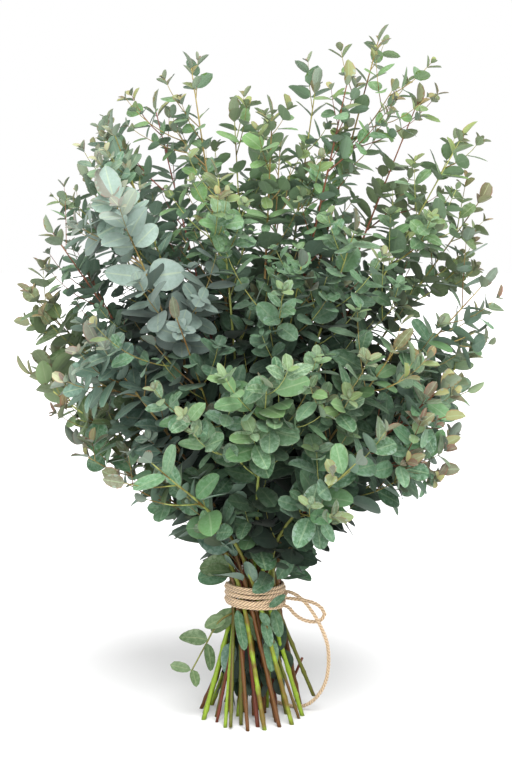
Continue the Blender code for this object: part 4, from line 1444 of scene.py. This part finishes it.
# A eucalypt's young leaf: matt, with a waxy bloom that lies in patches and hides most of the green. The
# patches are about 3 mm wide; the wax grains are drawn at 0.7 mm, coarser than real, to show. Side veins
# leave the midrib about every seventh of the blade and slant towards the tip
leafPaint = {
    "values": leafValues + ("leafUnder",),
    "patterns": {"patch": (3.0, 4.0, 0.62), "grain": (0.67, 2.0, 0.6)},
    "sums": (
        ("across", "ABSOLUTE", "leafAcross"),
        # The leaf's tone mixes a random tone with painted shade deeper in the bunch
        ("toned", "MULTIPLY", "leafToneAndShade", 0.5),
        ("shade", "MULTIPLY_ADD", "patch", 0.55, "toned"),
        ("slant", "MULTIPLY_ADD", "across", -0.32, "leafAlong"),
        ("beats", "MULTIPLY", "slant", math.tau * 7.3),
        ("ribs", "SINE", "beats"),
        ("midrib", "RANGE", "across", 0.035, 0.1, -0.25, 0.0),
        ("height", "MULTIPLY_ADD", "grain", 0.35, "midrib"),
    ),
    "base": "dark",
    # The colour of each layer, and what it shows by: a value, its low and high, and the share that each gives
    "layers": (
        ("light", (("shade", 0.2, 0.85, 0, 1),)),
        ("fresher", (("leafToneAndShade", 0.7, 1, 0, 0.6),)),
        ("high", (("leafHigh", 0, 1, 0, 0.75),)),
        ("bloom", (("leafBloom", 0.3, 0.85, 0, 0.9), ("patch", 0.25, 0.6, 0.7, 1))),
        ("bloom", (
            ("patch", 0.42, 0.72, 0, 1), ("grain", 0.35, 0.7, 0.35, 0.9), ("leafToneAndShade", 0.6, 0.95, 0.75, 0.25),
            ("leafHigh", 0.1, 1, 1, 0.4))),
        ("young", (("leafYouth", 0, 1, 0, 0.85),)),
        ("newest", (("leafYouth", 0, 1, 0, 0.85), ("leafToneAndShade", 0.5, 0.65, 0, 1))),
        ("margin", (("across", 0.82, 1, 0, 1), ("leafYouth", 0, 0.8, 0.12, 0.85))),
        ("vein", (("ribs", 0.86, 1, 0, 0.12), ("across", 0, 0.95, 1, 0))),
        ("vein", (("across", 0.035, 0.1, 0.45, 0),)),
        ("under", (("leafUnder", 0, 1, 0, 0.5),)),
        # Painted shade: leaves deep in the bunch turn towards near-black
        ("paintedShade", (("leafPaintedShade", 0, 1, 0, 0.92),)),
    ),
    "roughness": ("patch", 0.3, 0.8, 0.5, 0.68),
    "relief": ("height", 0.35, 0.0004),
    "shader": {"IOR": 1.45, "Specular IOR Level": 0.35, "Sheen Weight": 0.06, "Sheen Roughness": 0.5},
}

barkLooks = {
    "lime": {"old": "#748c22", "mid": "#84914a", "tip": "#9a9f5c", "spot": "#454d1c", "sunny": "#5c3d14"},
    "olive": {"old": "#4f5316", "mid": "#72783e", "tip": "#8c8c48", "spot": "#35321a", "sunny": "#5e3c20"},
    "red": {"old": "#5c2610", "mid": "#6a3a27", "tip": "#7c5038", "spot": "#381c13", "sunny": "#522618"},
    "brown": {"old": "#53340f", "mid": "#86704a", "tip": "#94864e", "spot": "#372613", "sunny": "#5c3516"},
    "pink": {"old": "#8a463e", "mid": "#7e4638", "tip": "#80544a", "spot": "#572c26", "sunny": "#93524a"},
}
# Smooth young bark: satin, with lengthwise streaks of about 1 mm, scars of 2 to 3 mm and a darker side
barkPaint = {
    "values": ("woodAge", "woodAround"),
    "patterns": {"blotch": (17.0, 2.0, 0.5), "streak": (0.9, 3.0, 0.6), "scar": (2.4, 2.0, 0.5)},
    "lengthwise": {"streak": 0.12},
    "sums": (("streaks", "MULTIPLY", "streak", 0.6), ("height", "MULTIPLY_ADD", "scar", 0.5, "streaks")),
    "base": "old",
    "layers": (
        ("mid", (("woodAge", 0.24, 0.55, 0, 1),)),
        ("tip", (("woodAge", 0.6, 0.95, 0, 1),)),
        ("sunny", (("woodAround", 0.15, 0.75, 0, 0.9), ("blotch", 0.4, 0.6, 0, 1))),
        ("spot", (("streak", 0.45, 0.75, 0, 0.5),)),
        ("spot", (("scar", 0.62, 0.74, 0, 0.7),)),
    ),
    "roughness": ("streak", 0.3, 0.8, 0.42, 0.6),
    "relief": ("height", 0.4, 0.0004),
    "shader": {"IOR": 1.47, "Specular IOR Level": 0.3},
}

twineLook = {"dark": "#a28560", "mid": "#cfb08b", "light": "#ecd4b2", "grooveShade": "#7a5f3f"}
# Jute twine: coarse dull fibres, straw to tan, drawn at 0.4 mm, with painted shade in the grooves between its
# strands
twinePaint = {
    "values": ("strandAround", "strandAlong", "strandOut"),
    "patterns": {"fibre": (0.385, 3.0, 0.5), "patch": (3.8, 3.0, 0.6)},
    "sums": (
        ("twist", "MULTIPLY", "strandAlong", 9.0),
        ("turn", "MULTIPLY_ADD", "strandAround", 7.0, "twist"),
        ("lines", "SINE", "turn"),
        ("fibres", "MULTIPLY_ADD", "lines", 0.22, "fibre"),
    ),
    "base": "dark",
    "layers": (
        ("light", (("fibres", 0.3, 0.8, 0, 1),)),
        ("mid", (("patch", 0.35, 0.65, 0.1, 0.6),)),
        # Painted shade where a strand turns in towards the others
        ("grooveShade", (("strandOut", -0.1, 0.62, 1, 0),)),
    ),
    "roughness": ("fibre", 0.3, 0.7, 0.75, 0.95),
    "relief": ("fibres", 0.7, 0.0005),
    "shader": {"IOR": 1.5, "Sheen Weight": 0.3},
}

leafMaterials = {
    kind: newMaterial(f"{kind} gum leaf with bloom", look, leafPaint) for kind, look in leafLooks.items()}
barkMaterials = {
    kind: newMaterial(f"{kind} young gum bark", look, barkPaint) for kind, look in barkLooks.items()}
jute = newMaterial("jute fibre", twineLook, twinePaint)
print("materials", len(bpy.data.materials))

triangles = 0
for number, stem in enumerate(stems, 1):
    draw = np.random.default_rng(seed * 1000 + number)
    paleness = 1.0 if stem is paleStem else leafShape["bloom"]
    leaves, over, deep = [], 1, leafShape["deep"]
    for leaf in stem["leavesPlaced"]:
        # Blades deep in the bunch, which are seen only in part, get the mesh of smaller ones
        hidden = outwardness(leaf["root"]) < deep["outwardness"] and leaf["root"].z > deep["over"]
        leaf["detail"] = min(leaf["length"], deep["length"]) if hidden else leaf["length"]
    for least, rows, across in leafShape["grades"]:
        grade = [leaf for leaf in stem["leavesPlaced"] if least <= leaf["detail"] < over]
        over = least
        if grade:
            leaves.append(bladesOf(grade, rows, across, paleness, draw))
    wood = woodOf(stem, random.Random(f"{seed} wood {stem['name']}"))
    materials = [leafMaterials[stem["leaves"]], barkMaterials[stem["bark"]]]
    values = leafValues + ("woodAge", "woodAround")
    piece = newPiece(f"cider_gum_{stem['name']}", leaves + wood, materials, values, ("leafUnder",))
    rim = np.zeros(len(piece.data.vertices), dtype=bool)
    edges = np.concatenate([part["rim"] for part in leaves])
    rim[:len(edges)] = edges
    sharpen(piece, rim)
    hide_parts(stem["name"])
    triangles += sum(len(polygon.vertices) - 2 for polygon in piece.data.polygons)
print("triangles of the stems", triangles)


# Twine

strandPlan = {
    "count": 3,
    "offset": 0.00096,
    "radius": 0.00088,
    "pitch": 0.0105,
    "sides": 7,
    "step": 0.0008,
    "thinWinding": 0.92,
    "thinTucks": 0.96,
    "windingIn": 0.0004,
    "tuckedIn": (0.0002, 0.003, 0.0045),
    "fibresIn": 0.7,
}


def twistedTwine(line, thin=1.0):
    # The strands that twist round a line
    plan = strandPlan
    length = lineLength(line)
    count = int(length / plan["step"])
    centre = [pointOn(line, i / count)[0] for i in range(count + 1)]
    frames = framesAlong(centre)
    parts = []
    for strand in range(plan["count"]):
        path, outs = [], []
        for i, (spot, (way, first, second)) in enumerate(zip(centre, frames)):
            angle = -math.tau * (strand / plan["count"] + i * length / count / plan["pitch"])
            out = first * math.cos(angle) + second * math.sin(angle)
            outs.append(out)
            path.append(spot + out * plan["offset"] * thin)
        points, faces = tubeOf(path, [plan["radius"] * thin] * len(path), plan["sides"])
        numbers = np.array([list(point) for point in points])
        middle = np.repeat([list(place) for place in path], plan["sides"], axis=0)
        outward = np.repeat([list(out) for out in outs], plan["sides"], axis=0)
        # How far each point faces out of the twine, which sets the painted shade in its grooves
        shown = ((numbers - middle) * outward).sum(axis=1) / (plan["radius"] * thin)
        parts.append({
            "points": numbers, "faces": faces, "material": 0, "strandOut": shown,
            "strandAround": np.tile(np.arange(plan["sides"]) / plan["sides"], len(path)) * math.tau,
            "strandAlong": np.repeat(np.arange(len(path)) * length / count * 1000, plan["sides"])})
    return parts


fibrePlan = {
    "spacing": 0.0011,
    "length": (0.0012, 0.0034),
    "radius": 0.00005,
    "lift": (0.1, 0.7),
    "aside": 0.6,
    "bend": (-0.15, 0.25),
    "floorRoom": 0.0003,
}


def looseFibres(line, draw):
    # The short fibres that stand off the twine and blur its edge
    places, faces = [], []
    for _ in range(int(lineLength(line) / fibrePlan["spacing"])):
        spot, way = pointOn(line, draw.random())
        out = around(way, draw.uniform(0, math.tau))
        side = way.cross(out) * draw.uniform(-fibrePlan["aside"], fibrePlan["aside"])
        along = (way * draw.choice((-1, 1)) + out * draw.uniform(*fibrePlan["lift"]) + side).normalized()
        reach = draw.uniform(*fibrePlan["length"])
        root = spot + out * (strandPlan["offset"] + strandPlan["radius"] * strandPlan["fibresIn"])
        end = root + along * reach + out * reach * draw.uniform(*fibrePlan["bend"])
        route = [root, root + along * reach * 0.5, end]
        if min(point.z for point in route) < fibrePlan["floorRoom"]:
            continue
        points, sides = tubeOf(route, [fibrePlan["radius"]] * 3, 3)
        faces += [[corner + len(places) for corner in side] for side in sides]
        places += [list(point) for point in points]
    return {"points": np.array(places), "faces": faces, "material": 0, "strandOut": 1.0}


# Each turn of the winding from the top one down: its height in millimetres at the left, the front, the right
# and the back, and how far it stands out over the others there
turnsOfTwine = (
    ((126.7, 125.2, 125.6, 125.2), (0, 0, 0, 0)),
    ((124.0, 122.4, 122.4, 121.8), (1.2, 1.2, 1.2, 1.2)),
    ((121.0, 118.2, 120.3, 118.9), (0, 1.9, 1.0, 0)),
    ((118.2, 118.6, 115.6, 115.6), (1.2, 0.2, 0.6, 1.2)),
    ((115.2, 113.2, 117.3, 112.9), (0, 1.2, 3.2, 0.6)),
    ((112.4, 111.2, 108.9, 110.2), (1.2, 1.2, 1.0, 1.0)),
    ((110.0, 108.3, 105.9, 106.8), (0, 0, 0, 0)),
)


def windingCentre():
    places = []
    for i, (heights, layers) in enumerate(turnsOfTwine):
        for j, bearing in enumerate((180, 270, 360, 450)):
            angle = math.radians(bearing)
            places.append((angle + math.tau * i, heights[j] / 1000, layers[j] / 1000))
    table = np.array(places)
    centre = []
    steps = 40 * len(turnsOfTwine)
    for k in range(steps + 1):
        angle = table[0, 0] + (table[-1, 0] - table[0, 0]) * k / steps
        height = float(np.interp(angle, table[:, 0], table[:, 1]))
        layer = float(np.interp(angle, table[:, 0], table[:, 2]))
        reach = bundleRadius(height) - strandPlan["windingIn"] + layer
        centre.append(Vector((reach * math.cos(angle), reach * math.sin(angle), height)))
    return centre


def tucks():
    # The short stretches by which the loop and the tail come out from under the turns
    places = []
    for end, after in ((loopLine[0], loopLine[1]), (loopLine[-1], loopLine[-2]), (tailLine[0], tailLine[1])):
        inward = Vector((-end.x, -end.y, 0)).normalized()
        way = (end - after).normalized()
        near, deeper, deep = strandPlan["tuckedIn"]
        places.append([end + way * near, end + (way + inward) * deeper, end + (way + inward * 2) * deep])
    return places


fibreDraw = random.Random(f"{seed} fibres")
windingParts = twistedTwine(windingCentre(), strandPlan["thinWinding"])
windingParts.append(looseFibres(windingCentre(), fibreDraw))
for line in tucks():
    windingParts += twistedTwine(rounded(line, 4), strandPlan["thinTucks"])
winding = newPiece("jute_winding", windingParts, [jute], twinePaint["values"])
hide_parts("twine_winding")
for name, line, farEnd in (("loop", loopLine, "object"), ("tail", tailLine, "bare")):
    parts = twistedTwine(line) + [looseFibres(line, fibreDraw)]
    cord = newPiece(f"jute_{name}", parts, [jute], twinePaint["values"])
    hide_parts(f"twine_{name}")
    print(name, "length", round(lineLength(line), 4))


# Floor, background and light

floorLook = {
    "half": 6.0,  # metres from the middle to each side
    "low": "#d9d9d9",
    "high": "#dddddd",
}
# Matt white studio paper, with a grain of about 1 mm
floorPaint = {
    "values": (),
    "patterns": {"grain": (1.1, 2.0, 0.5)},
    "sums": (),
    "base": "low",
    "layers": (("high", (("grain", 0.3, 0.7, 0, 1),)),),
    "roughness": ("grain", 0.3, 0.7, 0.85, 0.95),
    "shader": {},
}

mesh = bpy.data.meshes.new("studio_floor")
half = floorLook["half"]
mesh.from_pydata([(-half, -half, 0), (half, -half, 0), (half, half, 0), (-half, half, 0)], [], [(0, 1, 2, 3)])
mesh.materials.append(newMaterial("white studio paper", floorLook, floorPaint))
floor = newObject("studio_floor", mesh)

world = bpy.data.worlds.new("studio")
world.use_nodes = True
world.node_tree.nodes["Background"].inputs["Color"].default_value = (1, 1, 1, 1)
world.node_tree.nodes["Background"].inputs["Strength"].default_value = 1.0
bpy.context.scene.world = world
bpy.context.scene.view_settings.view_transform = "Standard"

lampPlan = {
    "key": {"from": (0.14, -0.95, 1.5), "strength": 4.2, "softness": 36},
    "front": {"from": (0.1, -1.5, 0.27), "strength": 2.8, "softness": 55},
}
for name, plan in lampPlan.items():
    lamp = bpy.data.lights.new(name, "SUN")
    lamp.energy = plan["strength"]
    lamp.angle = math.radians(plan["softness"])
    lampObject = newObject(name, lamp)
    lampObject.location = plan["from"]
    lampObject.rotation_euler = (-Vector(plan["from"])).to_track_quat("-Z", "Y").to_euler()
